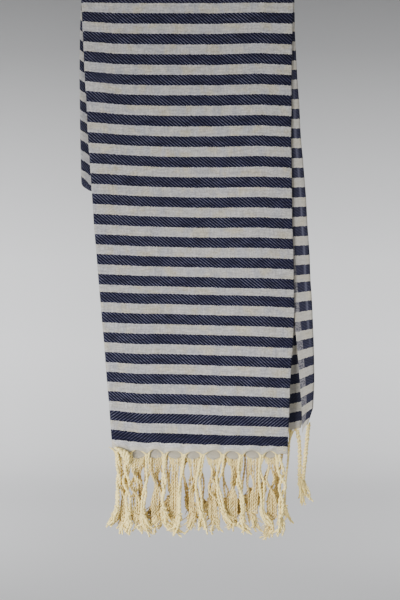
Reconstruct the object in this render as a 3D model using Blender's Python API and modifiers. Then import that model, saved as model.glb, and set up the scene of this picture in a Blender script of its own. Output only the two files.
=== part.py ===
"""A hammam towel, folded in four across its width and in two along its length, hung over a rod.

The cloth is one sheet. Across the width it runs to and fro through a flap, a front panel and three
more layers; along the length it goes up the front, over an unseen rod, down the back, round a
crosswise fold and the same way back inside itself. The knotted fringe of each end is a row of
locks on a narrow strip that follows the folded hem. Metres, +Z up, +Y away from the front.
The origin lies where the cloth's underside rests on top of the rod.
"""

import math
from collections.abc import Callable
from typing import NamedTuple

import bmesh
import bpy
from mathutils import Vector

MM = 0.001

# Driving dimensions
TOWEL_LENGTH = 1580 * MM  # hem to hem, without the fringe
CLOTH_THICKNESS = 1.2 * MM
LAYER_PITCH = 1.8 * MM  # from the middle of one layer to the middle of the next
ROD_RADIUS = 15 * MM  # the space that the fold keeps for a rod
BACK_DROP = 232 * MM  # from the rod's axis down to the crosswise fold
SEAM_GAP = 1.1 * MM  # between the cloth's edge and the strip that carries the fringe
STRIP_HEIGHT = 4 * MM
FLOW_TOP = -350 * MM  # below this height the two front layers settle closer together
FLOW_BOTTOM = -450 * MM
RIDGE_LEFT = 25 * MM  # the flap's hidden edge lifts the front panel right of here
RIDGE_RIGHT = 100 * MM

# Columns of the folded sheet
TURN_STEPS = 4  # segments round each lengthwise fold
PANEL_SHARES = (0.2, 0.36, 0.5, 0.66, 0.84)  # where the panels' inner columns stand
FRONT_SHARES = (0.0, 0.05, 0.12, 0.22, 0.34, 0.46, 0.58, 0.72, 0.86)
CREST_STEPS = 8
BACK_STEPS = 4
CROSS_STEPS = 6
INNER_STEPS = 7

CLOTH_COLOUR = (0.09, 0.10, 0.17, 1.0)
FRINGE_COLOUR = (0.72, 0.64, 0.46, 1.0)
CLOTH_ROUGHNESS = 0.9


class Edges(NamedTuple):
    """Where the lengthwise folds and the two selvedges stand at one height, in millimetres."""

    height: float
    inner_selvedge: float
    outer_fold: float
    right_fold: float
    flap_fold: float
    flap_selvedge: float


FRONT_EDGES = (
    Edges(-620, 146, -91.0, 127.0, 151.0, 147.0),
    Edges(-552, 146, -95.6, 129.0, 152.0, 147.6),
    Edges(-540, 149, -96.3, 129.6, 156.0, 147.8),
    Edges(-526, 152, -97.2, 130.0, 160.4, 147.6),
    Edges(-490, 152, -99.8, 130.8, 161.8, 144.5),
    Edges(-440, 145, -103.2, 133.6, 160.0, 140.4),
    Edges(-400, 136, -106.4, 135.0, 157.8, 137.6),
    Edges(-355, 126, -109.6, 134.0, 154.8, 136.0),
    Edges(-325, 119, -111.8, 133.0, 153.2, 131.5),
    Edges(-260, 108, -116.0, 130.8, 148.5, 122.0),
    Edges(-190, 100, -119.9, 129.4, 142.0, 114.0),
    Edges(-120, 93, -122.8, 129.0, 137.0, 106.0),
    Edges(-60, 88, -125.3, 129.6, 133.0, 100.0),
    Edges(-15, 86, -127.2, 130.6, 131.6, 97.0),
)
BACK_EDGES = (
    Edges(-260, 90, -133.0, 126.0, 131.0, 101.0),
    Edges(-180, 90, -134.0, 127.0, 131.5, 101.0),
    Edges(-110, 88, -134.0, 128.5, 132.0, 100.0),
    Edges(-50, 87, -132.6, 129.6, 132.0, 98.0),
    Edges(-15, 86, -130.4, 130.4, 131.8, 97.0),
)


class HemPoint(NamedTuple):
    """The height of the front hem at a share of the way along one run of the sheet."""

    run: int
    share: float
    height: float


# Runs of the sheet, from the inner selvedge to the one that edges the flap
INNER_RUN, MIDDLE_RUN, FRONT_RUN, REAR_RUN, FLAP_RUN = range(5)
FRONT_HEM = (
    HemPoint(INNER_RUN, 0.00, -549),
    HemPoint(INNER_RUN, 0.16, -560),
    HemPoint(INNER_RUN, 0.34, -568),
    HemPoint(INNER_RUN, 1.00, -589),
    HemPoint(MIDDLE_RUN, 0.66, -587),
    HemPoint(FRONT_RUN, 0.00, -583),
    HemPoint(FRONT_RUN, 0.50, -581),
    HemPoint(FRONT_RUN, 1.00, -575),
    HemPoint(REAR_RUN, 0.50, -566),
    HemPoint(REAR_RUN, 1.00, -547),
    HemPoint(FLAP_RUN, 1.00, -552),
)


class Layer(NamedTuple):
    """How far a run lies from the face where the outer half of the strip meets the inner half."""

    left: float
    right: float


LAYERS = (
    Layer(1.5, 1.5),  # inner run
    Layer(2.5, 3.5),  # middle run
    Layer(3.5, 4.5),  # front run
    Layer(0.5, 0.5),  # rear run
    Layer(2.5, 2.5),  # flap
)
MOST_LAYERS = 4.5
INNER_TUCK = 4.5 * MM  # how far the inner fold stands inside the outer one


class Wave(NamedTuple):
    """A soft swell of the hanging cloth towards the front, in millimetres."""

    x: float
    height: float
    width: float
    length: float
    swell: float


WAVES = (
    Wave(40, -190, 60, 160, -1.6),
    Wave(-70, -330, 50, 120, 1.8),
    Wave(60, -430, 55, 110, 1.4),
    Wave(-20, -540, 70, 60, -1.8),
    Wave(130, -500, 75, 90, 2.2),
    Wave(-95, -120, 40, 90, 1.2),
)

# Fringe
LOCK_WIDTH = 6.2 * MM
ROOT_MARGIN = 0.004  # share of a run kept clear beside a lock's root
SPREAD_TOP = -593 * MM  # the front rows of locks move apart between these heights
SPREAD_BOTTOM = -620 * MM
INNER_SPREAD_TOP = 18 * MM  # and the hidden rows between these depths below their hem
INNER_SPREAD_BOTTOM = 46 * MM
# Where the locks of the two rows seen best hang, in millimetres
FRONT_LOCKS = (-89, -72, -50, -28, -3, 21, 47, 70, 96, 116)
MIDDLE_LOCKS = (-80, -62, -39, -14, 9, 35, 60, 86, 108)


class Ring(NamedTuple):
    """One section of a lock: its depth below the hem, width and thickness, in millimetres."""

    depth: float
    width: float
    thickness: float


LOCK_RINGS = (
    Ring(14, 6.2, 1.2),
    Ring(40, 6.0, 1.3),
    Ring(56, 6.2, 3.0),
    Ring(69, 5.8, 3.2),
    Ring(74, 8.2, 4.2),
    Ring(79, 7.4, 4.0),
    Ring(83, 5.6, 3.2),
    Ring(92, 8.4, 4.0),
    Ring(104, 6.8, 2.4),
)


class Row(NamedTuple):
    """The locks of one run: their number, and how far they move aside at each end of the towel."""

    locks: int
    front_shift: float
    inner_shift: float


ROWS = {
    INNER_RUN: Row(11, 1.8, 4.2),
    MIDDLE_RUN: Row(len(MIDDLE_LOCKS), -1.2, 6.6),
    FRONT_RUN: Row(len(FRONT_LOCKS), -3.8, 9.2),
    REAR_RUN: Row(12, 4.8, 1.4),
}
PLACED_LOCKS = {FRONT_RUN: FRONT_LOCKS, MIDDLE_RUN: MIDDLE_LOCKS}


class Spot(NamedTuple):
    """A place across the sheet: a run and a share of it, or a turn after it and a share of that."""

    run: int
    share: float
    turning: bool


class End(NamedTuple):
    """One end of the towel: which half of the strip it closes, and the way its path runs."""

    name: str
    outer: bool


OUTER_END = End("fringe_front", True)
INNER_END = End("fringe_inner", False)


def eased(value: float, start: float, stop: float) -> float:
    """0 before start, 1 after stop, and a smooth rise between them."""
    share = min(max((value - start) / (stop - start), 0.0), 1.0)
    return share * share * (3 - 2 * share)


def edges_at(height: float, behind: bool) -> Edges:
    """The folds and selvedges at a height of the front or the back, in metres."""
    table = BACK_EDGES if behind else FRONT_EDGES
    wanted = min(max(height / MM, table[0].height), table[-1].height)
    above = next(i for i in range(1, len(table)) if wanted <= table[i].height)
    low, high = table[above - 1], table[above]
    share = (wanted - low.height) / (high.height - low.height)
    return Edges(*((a + (b - a) * share) * MM for a, b in zip(low, high, strict=True)))


def mixed_edges(first: Edges, second: Edges, share: float) -> Edges:
    """The edges a share of the way from one set to another."""
    return Edges(*(a + (b - a) * share for a, b in zip(first, second, strict=True)))


def lift(x: float, height: float) -> float:
    """How far the hidden flap lifts what lies over it: 0 left of its edge, 1 right of it."""
    return eased(x, RIDGE_LEFT, RIDGE_RIGHT) * eased(height, FLOW_BOTTOM, FLOW_TOP)


def run_ends(edges: Edges, run: int) -> tuple[float, float]:
    """Where a run starts and stops, short of its rounded folds."""
    reach = LAYER_PITCH
    inner_fold = edges.outer_fold + INNER_TUCK
    return (
        (edges.inner_selvedge, inner_fold + reach / 2),
        (inner_fold + reach / 2, edges.right_fold - reach / 2),
        (edges.right_fold - reach / 2, edges.outer_fold + 1.5 * reach),
        (edges.outer_fold + 1.5 * reach, edges.flap_fold - reach),
        (edges.flap_fold - reach, edges.flap_selvedge),
    )[run]


def across(edges: Edges, spot: Spot, height: float) -> tuple[float, float]:
    """A spot's x and its distance from the face between the two halves, at one height.

    Args:
        edges: the folds and selvedges there.
        spot: the place across the sheet.
        height: the height that decides how far the flap lifts the front.

    Returns:
        x and the distance, in metres.
    """
    start, stop = run_ends(edges, spot.run)
    if not spot.turning:
        x = start + (stop - start) * spot.share
        layer = LAYERS[spot.run]
        share = lift(x, height)
        return x, LAYER_PITCH * (layer.left + (layer.right - layer.left) * share)
    before, after = LAYERS[spot.run], LAYERS[spot.run + 1]
    share = lift(stop, height)
    low = LAYER_PITCH * (before.left + (before.right - before.left) * share)
    high = LAYER_PITCH * (after.left + (after.right - after.left) * share)
    angle = math.pi * spot.share
    outward = 1 if stop > 0 else -1
    bulge = LAYER_PITCH if spot.run == REAR_RUN else abs(high - low) / 2
    x = stop + outward * bulge * math.sin(angle)
    return x, (low + high) / 2 + (low - high) / 2 * math.cos(angle)


def spots_across() -> list[Spot]:
    """Every column of the folded sheet, from the inner selvedge to the flap's."""
    spots = []
    for run in range(len(LAYERS)):
        shares = (0.45,) if run == FLAP_RUN else PANEL_SHARES
        if run in (INNER_RUN, FRONT_RUN):
            shares = tuple(1 - share for share in reversed(shares))
        start = (0.0,) if run == INNER_RUN else ()
        spots += [Spot(run, share, False) for share in start + shares]
        if run == FLAP_RUN:
            spots.append(Spot(run, 1.0, False))
        else:
            spots += [Spot(run, i / TURN_STEPS, True) for i in range(TURN_STEPS + 1)]
    return spots


def front_hem(spot: Spot) -> float:
    """The front hem's height at a spot."""
    place = spot.run + (1.0 if spot.turning else spot.share)
    table = [(point.run + point.share, point.height * MM) for point in FRONT_HEM]
    below = max(i for i, (key, _) in enumerate(table) if key <= place)
    if below == len(table) - 1:
        return table[-1][1]
    (key, height), (next_key, next_height) = table[below], table[below + 1]
    if next_key == key:
        return next_height
    return height + (next_height - height) * (place - key) / (next_key - key)


def wave_at(x: float, height: float) -> float:
    """How far the hanging cloth swells towards the front at a place, fading out near the rod."""
    total = 0.0
    for wave in WAVES:
        far = ((x / MM - wave.x) / wave.width) ** 2 + ((height / MM - wave.height) / wave.length) ** 2
        total += wave.swell * MM * math.exp(-far)
    return total * eased(-height, 30 * MM, 110 * MM)


def base_radius(x: float, height: float) -> float:
    """The radius, about the rod's axis, of the face between the two halves."""
    layers = MOST_LAYERS - 1 + lift(x, height)
    return ROD_RADIUS + CLOTH_THICKNESS / 2 + LAYER_PITCH * layers


def front_point(spot: Spot, height: float, outer: bool) -> Vector:
    """A point of the sheet where it hangs in front of the rod."""
    x, distance = across(edges_at(height, False), spot, height)
    radius = base_radius(x, height) + (distance if outer else -distance)
    return Vector((x, -radius - wave_at(x, height), height))


def crest_point(spot: Spot, share: float, outer: bool) -> Vector:
    """A point of the sheet on its way over the rod, from the front at 0 to the back at 1."""
    edges = mixed_edges(edges_at(-ROD_RADIUS, False), edges_at(-ROD_RADIUS, True), share)
    x, distance = across(edges, spot, 0.0)
    radius = base_radius(x, 0.0) + (distance if outer else -distance)
    angle = math.pi * share
    return Vector((x, -radius * math.cos(angle), radius * math.sin(angle) - ROD_RADIUS))


def back_point(spot: Spot, height: float, outer: bool) -> Vector:
    """A point of the sheet where it hangs behind the rod."""
    x, distance = across(edges_at(height, True), spot, 0.0)
    radius = base_radius(x, 0.0) + (distance if outer else -distance)
    return Vector((x, radius, height))


def cross_fold_point(spot: Spot, share: float) -> Vector:
    """A point of the sheet in the crosswise fold at the foot of the back."""
    height = -ROD_RADIUS - BACK_DROP
    x, distance = across(edges_at(height, True), spot, 0.0)
    angle = math.pi * share
    radius = base_radius(x, 0.0) + distance * math.cos(angle)
    return Vector((x, radius, height - distance * math.sin(angle)))


def mean_layer(spot: Spot) -> float:
    """How many layers out a spot's path runs, evened out over the folds on either side."""
    place = spot.run + (1.0 if spot.turning else spot.share)
    middles = [layer.left for layer in LAYERS]
    before = min(max(math.floor(place - 0.5), 0), len(middles) - 2)
    share = min(max(place - 0.5 - before, 0.0), 1.0)
    return middles[before] + (middles[before + 1] - middles[before]) * share


def inner_hem(spot: Spot) -> float:
    """The hidden hem's height, which the towel's length and each layer's own path decide."""
    x, _ = across(edges_at(-ROD_RADIUS, False), spot, 0.0)
    over_rod = 2 * math.pi * base_radius(x, 0.0)
    over_cross_fold = math.pi * LAYER_PITCH * mean_layer(spot)
    front = -ROD_RADIUS - front_hem(spot)
    rest = TOWEL_LENGTH - front - over_rod - over_cross_fold - 2 * BACK_DROP
    return -ROD_RADIUS - rest


def sheet_column(spot: Spot) -> list[Vector]:
    """The sheet's points at one spot across it, from the front hem to the hidden one."""
    hem, hidden = front_hem(spot), inner_hem(spot)
    foot = -ROD_RADIUS - BACK_DROP
    column = [front_point(spot, hem + (-ROD_RADIUS - hem) * share, True) for share in FRONT_SHARES]
    column += [crest_point(spot, i / CREST_STEPS, True) for i in range(CREST_STEPS + 1)]
    drops = [BACK_DROP * i / BACK_STEPS for i in range(1, BACK_STEPS)]
    column += [back_point(spot, -ROD_RADIUS - drop, True) for drop in drops]
    column += [cross_fold_point(spot, i / CROSS_STEPS) for i in range(CROSS_STEPS + 1)]
    column += [back_point(spot, foot + drop, False) for drop in drops]
    column += [crest_point(spot, 1 - i / CREST_STEPS, False) for i in range(CREST_STEPS + 1)]
    shares = [i / INNER_STEPS for i in range(1, INNER_STEPS + 1)]
    column += [front_point(spot, -ROD_RADIUS + (hidden + ROD_RADIUS) * share, False) for share in shares]
    return column


def material(name: str, colour: tuple[float, float, float, float]) -> bpy.types.Material:
    """A plain cloth material."""
    made = bpy.data.materials.new(name)
    made.use_nodes = True
    shader = made.node_tree.nodes["Principled BSDF"]
    shader.inputs["Base Color"].default_value = colour
    shader.inputs["Roughness"].default_value = CLOTH_ROUGHNESS
    shader.inputs["Metallic"].default_value = 0.0
    return made


def solidified_sheet(name: str, columns: list[list[Vector]], home: bpy.types.Collection) -> bpy.types.Object:
    """An open grid laid on the given columns of points, with the cloth's thickness.

    Args:
        name: the object's name.
        columns: the middle face's points, one list for each column.
        home: the collection that takes the object.

    Returns:
        The object, with its Solidify modifier.
    """
    rows = len(columns[0])
    mesh = bpy.data.meshes.new(name)
    grid = bmesh.new()
    bmesh.ops.create_grid(grid, x_segments=rows - 1, y_segments=len(columns) - 1, size=1)
    grid.verts.ensure_lookup_table()
    for index, point in enumerate(point for column in columns for point in column):
        grid.verts[index].co = point
    grid.normal_update()
    grid.to_mesh(mesh)
    grid.free()
    sheet = bpy.data.objects.new(name, mesh)
    home.objects.link(sheet)
    thicken = sheet.modifiers.new("Thickness", "SOLIDIFY")
    thicken.thickness = CLOTH_THICKNESS
    thicken.offset = 0.0
    thicken.use_even_offset = True
    return sheet


def lock_spots() -> list[Spot]:
    """The middle of each lock's root along the folded hem, row by row."""
    spots = []
    for run, row in ROWS.items():
        start, stop = run_ends(edges_at(front_hem(Spot(run, 0.5, False)), False), run)
        if run in PLACED_LOCKS:
            shares = [(x * MM - start) / (stop - start) for x in PLACED_LOCKS[run]]
        else:
            shares = [(i + 0.5) / row.locks for i in range(row.locks)]
        spots += [Spot(run, share, False) for share in shares]
    return spots


def root_sides(middle: Spot) -> tuple[Spot, Spot]:
    """The two sides of a lock's root."""
    start, stop = run_ends(edges_at(front_hem(middle), False), middle.run)
    half = LOCK_WIDTH / 2 / abs(stop - start)
    return middle._replace(share=middle.share - half), middle._replace(share=middle.share + half)


def inside_a_root(spot: Spot, sides: list[tuple[Spot, Spot]]) -> bool:
    """Whether a column of the cloth falls on or right beside the root of a lock."""
    if spot.turning:
        return False
    return any(
        spot.run == low.run and low.share - ROOT_MARGIN < spot.share < high.share + ROOT_MARGIN
        for low, high in sides
    )


def strip_spots() -> list[Spot]:
    """The strip's columns: the cloth's own, and both sides of each lock's root."""
    sides = [root_sides(middle) for middle in lock_spots()]
    spots = [spot for spot in spots_across() if not inside_a_root(spot, sides)]
    spots += [side for pair in sides for side in pair]
    return sorted(spots, key=lambda spot: (spot.run, spot.turning, spot.share))


def strip_columns(spots: list[Spot], end: End) -> list[list[Vector]]:
    """The strip's points under the hem of one end."""
    hem: Callable[[Spot], float] = front_hem if end.outer else inner_hem
    tops = [hem(spot) - SEAM_GAP for spot in spots]
    return [
        [front_point(spot, top, end.outer), front_point(spot, top - STRIP_HEIGHT, end.outer)]
        for spot, top in zip(spots, tops, strict=True)
    ]


def ring_corners(face: bmesh.types.BMFace) -> list[bmesh.types.BMVert]:
    """A face's corners: front and back on the left, then front and back on the right."""
    by_x = sorted(face.verts, key=lambda vert: vert.co.x)
    return [vert for pair in (by_x[:2], by_x[2:]) for vert in sorted(pair, key=lambda vert: vert.co.y)]


def grow_lock(form: bmesh.types.BMesh, root: bmesh.types.BMFace, middle: Spot, number: int, end: End) -> None:
    """Draws one lock out of a face of the strip's lower rim, ring by ring.

    Args:
        form: the strip's mesh.
        root: the face that the lock grows from.
        middle: the place of its root across the sheet, which decides how far it moves aside.
        number: the lock's number, which varies its length and sway.
        end: the towel's end that the fringe is on.
    """
    centre = root.calc_center_median()
    length = 1 + 0.05 * math.sin(number * 2.4)
    sway = 2.2 * MM * math.sin(number * 1.7)
    row = ROWS[middle.run]
    face = root
    for ring in LOCK_RINGS:
        depth = ring.depth * MM * length
        height = centre.z - depth
        fall = front_point(middle, height, end.outer).y - front_point(middle, centre.z, end.outer).y
        if end.outer:
            shift = row.front_shift * MM * eased(-height, -SPREAD_TOP, -SPREAD_BOTTOM)
        else:
            shift = row.inner_shift * MM * eased(depth, INNER_SPREAD_TOP, INNER_SPREAD_BOTTOM)
        here = Vector((centre.x + sway * eased(depth, 0, 0.1), centre.y + fall + shift, height))
        face = bmesh.ops.extrude_discrete_faces(form, faces=[face])["faces"][0]
        half = Vector((ring.width, ring.thickness, 0)) * MM / 2
        signs = ((-1, -1), (-1, 1), (1, -1), (1, 1))
        for vert, (side, depthwise) in zip(ring_corners(face), signs, strict=True):
            vert.co = here + Vector((side * half.x, depthwise * half.y, 0))


def fringe(end: End, dye: bpy.types.Material, home: bpy.types.Collection) -> None:
    """The strip under one hem of the towel, with its locks grown from it."""
    spots = strip_spots()
    plain = solidified_sheet(end.name + "_strip", strip_columns(spots, end), home)
    graph = bpy.context.evaluated_depsgraph_get()
    form = bmesh.new()
    form.from_mesh(plain.evaluated_get(graph).to_mesh())
    bpy.data.objects.remove(plain)
    lower_rim = {}
    for face in form.faces:
        columns_met = {vert.index % (2 * len(spots)) // 2 for vert in face.verts}
        if all(vert.index % 2 for vert in face.verts) and len(columns_met) == 2:
            lower_rim[min(columns_met)] = face
    for number, middle in enumerate(lock_spots()):
        root = lower_rim[spots.index(root_sides(middle)[0])]
        grow_lock(form, root, middle, number, end)
    form.normal_update()
    mesh = bpy.data.meshes.new(end.name)
    form.to_mesh(mesh)
    form.free()
    mesh.materials.append(dye)
    home.objects.link(bpy.data.objects.new(end.name, mesh))


def main() -> None:
    """Builds the cloth and the fringe of both ends."""
    for obj in list(bpy.data.objects):
        bpy.data.objects.remove(obj)
    home = bpy.data.collections.new("hammam_towel")
    bpy.context.scene.collection.children.link(home)
    cloth = solidified_sheet("towel_cloth", [sheet_column(spot) for spot in spots_across()], home)
    cloth.data.materials.append(material("striped_cotton", CLOTH_COLOUR))
    dye = material("cream_yarn", FRINGE_COLOUR)
    for end in (OUTER_END, INNER_END):
        fringe(end, dye, home)


if __name__ == "__main__":
    main()
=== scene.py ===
"""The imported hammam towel, dressed as the real one.

The cloth is one thin sheet on the folds of the CAD part, with scalloped hems, soft swells and a
striped weave. Each lock of the fringe is a pair of twisted cords with a knot and loose yarn.
Metres, +Z up, +Y away from the front; the origin is where the cloth rests on top of the rod.
"""

import logging
import math
import random
from collections.abc import Sequence
from dataclasses import dataclass, field
from enum import Enum
from typing import NamedTuple

import bpy
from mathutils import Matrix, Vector, noise


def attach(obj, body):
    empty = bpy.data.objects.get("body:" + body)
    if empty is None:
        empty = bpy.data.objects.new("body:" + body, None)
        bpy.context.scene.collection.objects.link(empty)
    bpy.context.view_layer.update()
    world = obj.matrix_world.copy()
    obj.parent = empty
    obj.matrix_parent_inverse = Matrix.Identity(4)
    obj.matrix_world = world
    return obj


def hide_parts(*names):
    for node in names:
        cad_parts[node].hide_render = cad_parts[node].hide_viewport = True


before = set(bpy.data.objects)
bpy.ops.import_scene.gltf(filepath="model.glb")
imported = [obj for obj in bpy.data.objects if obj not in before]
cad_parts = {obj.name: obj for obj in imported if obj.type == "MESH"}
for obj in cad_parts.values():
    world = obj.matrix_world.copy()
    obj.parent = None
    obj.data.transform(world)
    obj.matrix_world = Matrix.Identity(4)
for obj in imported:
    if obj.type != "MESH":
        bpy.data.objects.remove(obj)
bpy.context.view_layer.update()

MM = 0.001
LOG = logging.getLogger("hammam_towel")
Colour = tuple[float, float, float, float]
Socket = bpy.types.NodeSocket

# How the towel is folded, as in the CAD part
TOWEL_LENGTH = 1.58
CAD_THICKNESS = 1.2 * MM
LAYER_PITCH = 1.8 * MM
ROD_RADIUS = 15 * MM
BACK_DROP = 232 * MM
FLOW_TOP = -350 * MM
FLOW_BOTTOM = -450 * MM
RIDGE_LEFT = 25 * MM
RIDGE_RIGHT = 100 * MM
MOST_LAYERS = 4.5
INNER_TUCK = 4.5 * MM
INNER_RUN, MIDDLE_RUN, FRONT_RUN, REAR_RUN, FLAP_RUN = range(5)


class Edges(NamedTuple):
    """Where the lengthwise folds and the two selvedges stand at one height, in millimetres."""

    height: float
    inner_selvedge: float
    outer_fold: float
    right_fold: float
    flap_fold: float
    flap_selvedge: float


FRONT_EDGES = (
    Edges(-620, 146, -91.0, 127.0, 151.0, 146.6),
    Edges(-552, 146, -95.6, 129.0, 152.0, 146.8),
    Edges(-540, 149, -96.3, 129.6, 156.0, 146.4),
    Edges(-526, 152, -97.2, 130.0, 160.4, 145.8),
    Edges(-490, 152, -99.8, 130.8, 161.8, 143.2),
    Edges(-440, 145, -103.2, 133.6, 160.0, 138.6),
    Edges(-400, 136, -106.4, 135.0, 157.8, 134.4),
    Edges(-355, 126, -109.6, 134.0, 154.8, 130.0),
    Edges(-325, 119, -111.8, 133.0, 153.2, 127.5),
    Edges(-260, 108, -116.0, 130.8, 148.5, 122.0),
    Edges(-190, 100, -119.9, 129.4, 142.0, 114.0),
    Edges(-120, 93, -122.8, 129.0, 137.0, 106.0),
    Edges(-60, 88, -125.3, 129.6, 133.0, 100.0),
    Edges(-15, 86, -127.2, 130.6, 131.6, 97.0),
)
BACK_EDGES = (
    Edges(-260, 90, -133.0, 126.0, 131.0, 101.0),
    Edges(-180, 90, -134.0, 127.0, 131.5, 101.0),
    Edges(-110, 88, -134.0, 128.5, 132.0, 100.0),
    Edges(-50, 87, -132.6, 129.6, 132.0, 98.0),
    Edges(-15, 86, -130.4, 130.4, 131.8, 97.0),
)


class HemPoint(NamedTuple):
    """The height of the front hem at a share of the way along one run, in millimetres."""

    run: int
    share: float
    height: float


FRONT_HEM = (
    HemPoint(INNER_RUN, 0.00, -549),
    HemPoint(INNER_RUN, 0.16, -560),
    HemPoint(INNER_RUN, 0.34, -568),
    HemPoint(INNER_RUN, 1.00, -589),
    HemPoint(MIDDLE_RUN, 0.66, -587),
    HemPoint(FRONT_RUN, 0.00, -583),
    HemPoint(FRONT_RUN, 0.50, -581),
    HemPoint(FRONT_RUN, 1.00, -575),
    HemPoint(REAR_RUN, 0.50, -566),
    HemPoint(REAR_RUN, 1.00, -547),
    HemPoint(FLAP_RUN, 1.00, -552),
)


class Layer(NamedTuple):
    """How far a run lies from the face where the outer half of the strip meets the inner half."""

    left: float
    right: float


LAYERS = (
    Layer(1.5, 1.5),  # inner run
    Layer(2.5, 3.5),  # middle run
    Layer(3.5, 4.5),  # front run
    Layer(0.5, 0.5),  # rear run
    Layer(2.5, 2.5),  # flap
)


class Wave(NamedTuple):
    """A soft swell of the hanging cloth towards the front, in millimetres."""

    x: float
    height: float
    width: float
    length: float
    swell: float


WAVES = (
    Wave(40, -190, 60, 160, -1.6),
    Wave(-70, -330, 50, 120, 1.8),
    Wave(60, -430, 55, 110, 1.4),
    Wave(-20, -540, 70, 60, -1.8),
    Wave(130, -500, 75, 90, 2.2),
    Wave(-95, -120, 40, 90, 1.2),
)
RIPPLE = 0.55 * MM  # small unevenness of the hanging cloth
RIPPLE_ACROSS = 17.0  # its scale across and along, as noise cells per metre
RIPPLE_ALONG = 9.0
EDGE_WANDER = 0.5 * MM  # unevenness of the folds' edges
EDGE_WANDER_SCALE = 22.0
RECESS = 8.0 * MM  # how far the rear layers hang back from the front panel, low on the right

# The stripes, counted from the front hem: band k ends at phase k
BAND_PITCH = 24.9 * MM
BAND_SHARE = 0.535
HEM_PHASE = 0.06
ROD_PHASE = 22.83
HIDDEN_HEM_PHASE = 64.43


class FrontRow(NamedTuple):
    """The height of a weft line at the middle of the front panel, in millimetres."""

    phase: float
    height: float


FRONT_ROWS = (
    FrontRow(HEM_PHASE, -582.0),
    FrontRow(1.0, -557.8),
    FrontRow(8.0, -380.1),
    FrontRow(8.465, -371.4),
    FrontRow(9.0, -358.0),
    FrontRow(22.0, -35.6),
    FrontRow(ROD_PHASE, -15.0),
)
RISE_PHASES = (0.0, 3.0, 6.0, 9.0, 14.0, 18.0, 21.5, ROD_PHASE)


class Rise(NamedTuple):
    """How much higher than mid-front the weft lines stand at a place, in millimetres by phase."""

    place: float
    heights: tuple[float, float, float, float, float, float, float, float]


RISES = (
    Rise(0.00, (29, 28, 24, 20, 12, 6, 1, 0)),
    Rise(0.16, (20, 19, 17, 14, 9, 4, 1, 0)),
    Rise(0.34, (12, 11, 10, 8, 5, 3, 1, 0)),
    Rise(1.00, (1, 0, -2, -3, -3, -1, 0, 0)),
    Rise(1.66, (-1, -2, -3, -3, -2.5, -0.5, 0, 0)),
    Rise(1.92, (-3, -4, -4, -3, -1.5, 0, 0, 0)),
    Rise(2.00, (-3, -4.1, -4, -2.8, -0.6, 0.3, 0, 0)),
    Rise(2.15, (-2.6, -2.7, -2.2, -1.0, 0.8, 2.2, 1.3, 0)),
    Rise(2.35, (-2.0, -1.5, -0.8, -0.8, -0.2, 0.7, 0.3, 0)),
    Rise(2.50, (-1.0, -0.6, -0.1, -0.4, -0.5, 0.8, 0, 0)),
    Rise(2.65, (0.0, 0.0, 0.7, 0.6, 0.2, 0.7, 0.3, 0)),
    Rise(2.85, (1.2, 0.8, 1.4, 2.0, 2.5, 1.9, 0.3, 0)),
    Rise(3.00, (5.5, 4.0, 3.2, 3.5, 4.5, 5.9, 3.0, 0)),
    Rise(3.50, (14, 12, 10, 9, 7, 5, 1, 0)),
    Rise(4.00, (35, 26.6, 19, 15.6, 11.5, 8.5, 2, 0)),
    Rise(5.00, (24, 19.2, 15.2, 14.0, 11, 8, 2, 0)),
)

HEM_DROPS = (
    (0.7, 0.0),
    (1.0, 8.0),
    (1.66, 7.5),
    (1.9, 4.0),
    (2.0, 0.0),
    (2.35, 0.5),
    (2.6, 2.0),
    (3.0, 3.5),
    (3.3, 0.0),
)  # by place, in millimetres
HEM_DROP_PHASE = 0.36

# Fringe, as in the CAD part
SEAM_GAP = 1.1 * MM
STRIP_HEIGHT = 4 * MM
SPREAD_TOP = -593 * MM
SPREAD_BOTTOM = -620 * MM
INNER_SPREAD_TOP = 18 * MM
INNER_SPREAD_BOTTOM = 46 * MM
FRONT_LOCKS = (-89, -72, -50, -28, -3, 21, 47, 70, 96, 116)
MIDDLE_LOCKS = (-80, -62, -39, -14, 9, 35, 60, 86, 108)


class Row(NamedTuple):
    """The locks of one run: their number, and how far they move aside at each end of the towel."""

    locks: int
    front_shift: float
    inner_shift: float


ROWS = {
    INNER_RUN: Row(11, 1.8, 4.2),
    MIDDLE_RUN: Row(len(MIDDLE_LOCKS), -1.2, 6.6),
    FRONT_RUN: Row(len(FRONT_LOCKS), -3.8, 9.2),
    REAR_RUN: Row(12, 4.8, 1.4),
}
PLACED_LOCKS = {FRONT_RUN: FRONT_LOCKS, MIDDLE_RUN: MIDDLE_LOCKS}
LOBE_SHIFTS = {1: -4.0}  # how far a lobe's lock hangs aside from it, in millimetres
CORD_ROOM = 1.6  # how far past an open place's edge a cord's middle stays, in millimetres
TAIL_FADE = 0.9  # how much paler a tail is at its end


class Gap(NamedTuple):
    """An open place in the front fringe, which its cords hang round, in millimetres."""

    x: float
    height: float
    half_width: float
    half_length: float


FRINGE_GAPS = (
    Gap(-45.5, -627, 4.6, 20),
    Gap(-25.5, -643, 3.4, 15),
    Gap(1, -611, 3.5, 18),
    Gap(27, -608, 4.5, 20),
    Gap(53, -611, 4.4, 21),
    Gap(82, -624, 2.6, 14),
    Gap(99.5, -603, 4.2, 17),
    Gap(107, -616, 3.4, 13),
)


class Bundle(NamedTuple):
    """How a lock of the front panel hangs: its x at three depths, in millimetres."""

    middle: float
    knot: float
    tail: float
    open: float  # how far its cords stand apart


FRONT_BUNDLES = (
    Bundle(-86, -88, -103, 1.6),
    Bundle(-76, -74, -70, 3.4),
    Bundle(-50, -56, -50, 2.0),
    Bundle(-28, -29, -25, 1.5),
    Bundle(-8, -8.5, -12, 1.6),
    Bundle(14, 19.6, 26, 2.6),
    Bundle(39, 48, 52, 2.4),
    Bundle(67.5, 72, 66.5, 2.2),
    Bundle(96, 97, 104, 2.8),
    Bundle(122, 121, 117.5, 3.6),
)


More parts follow.
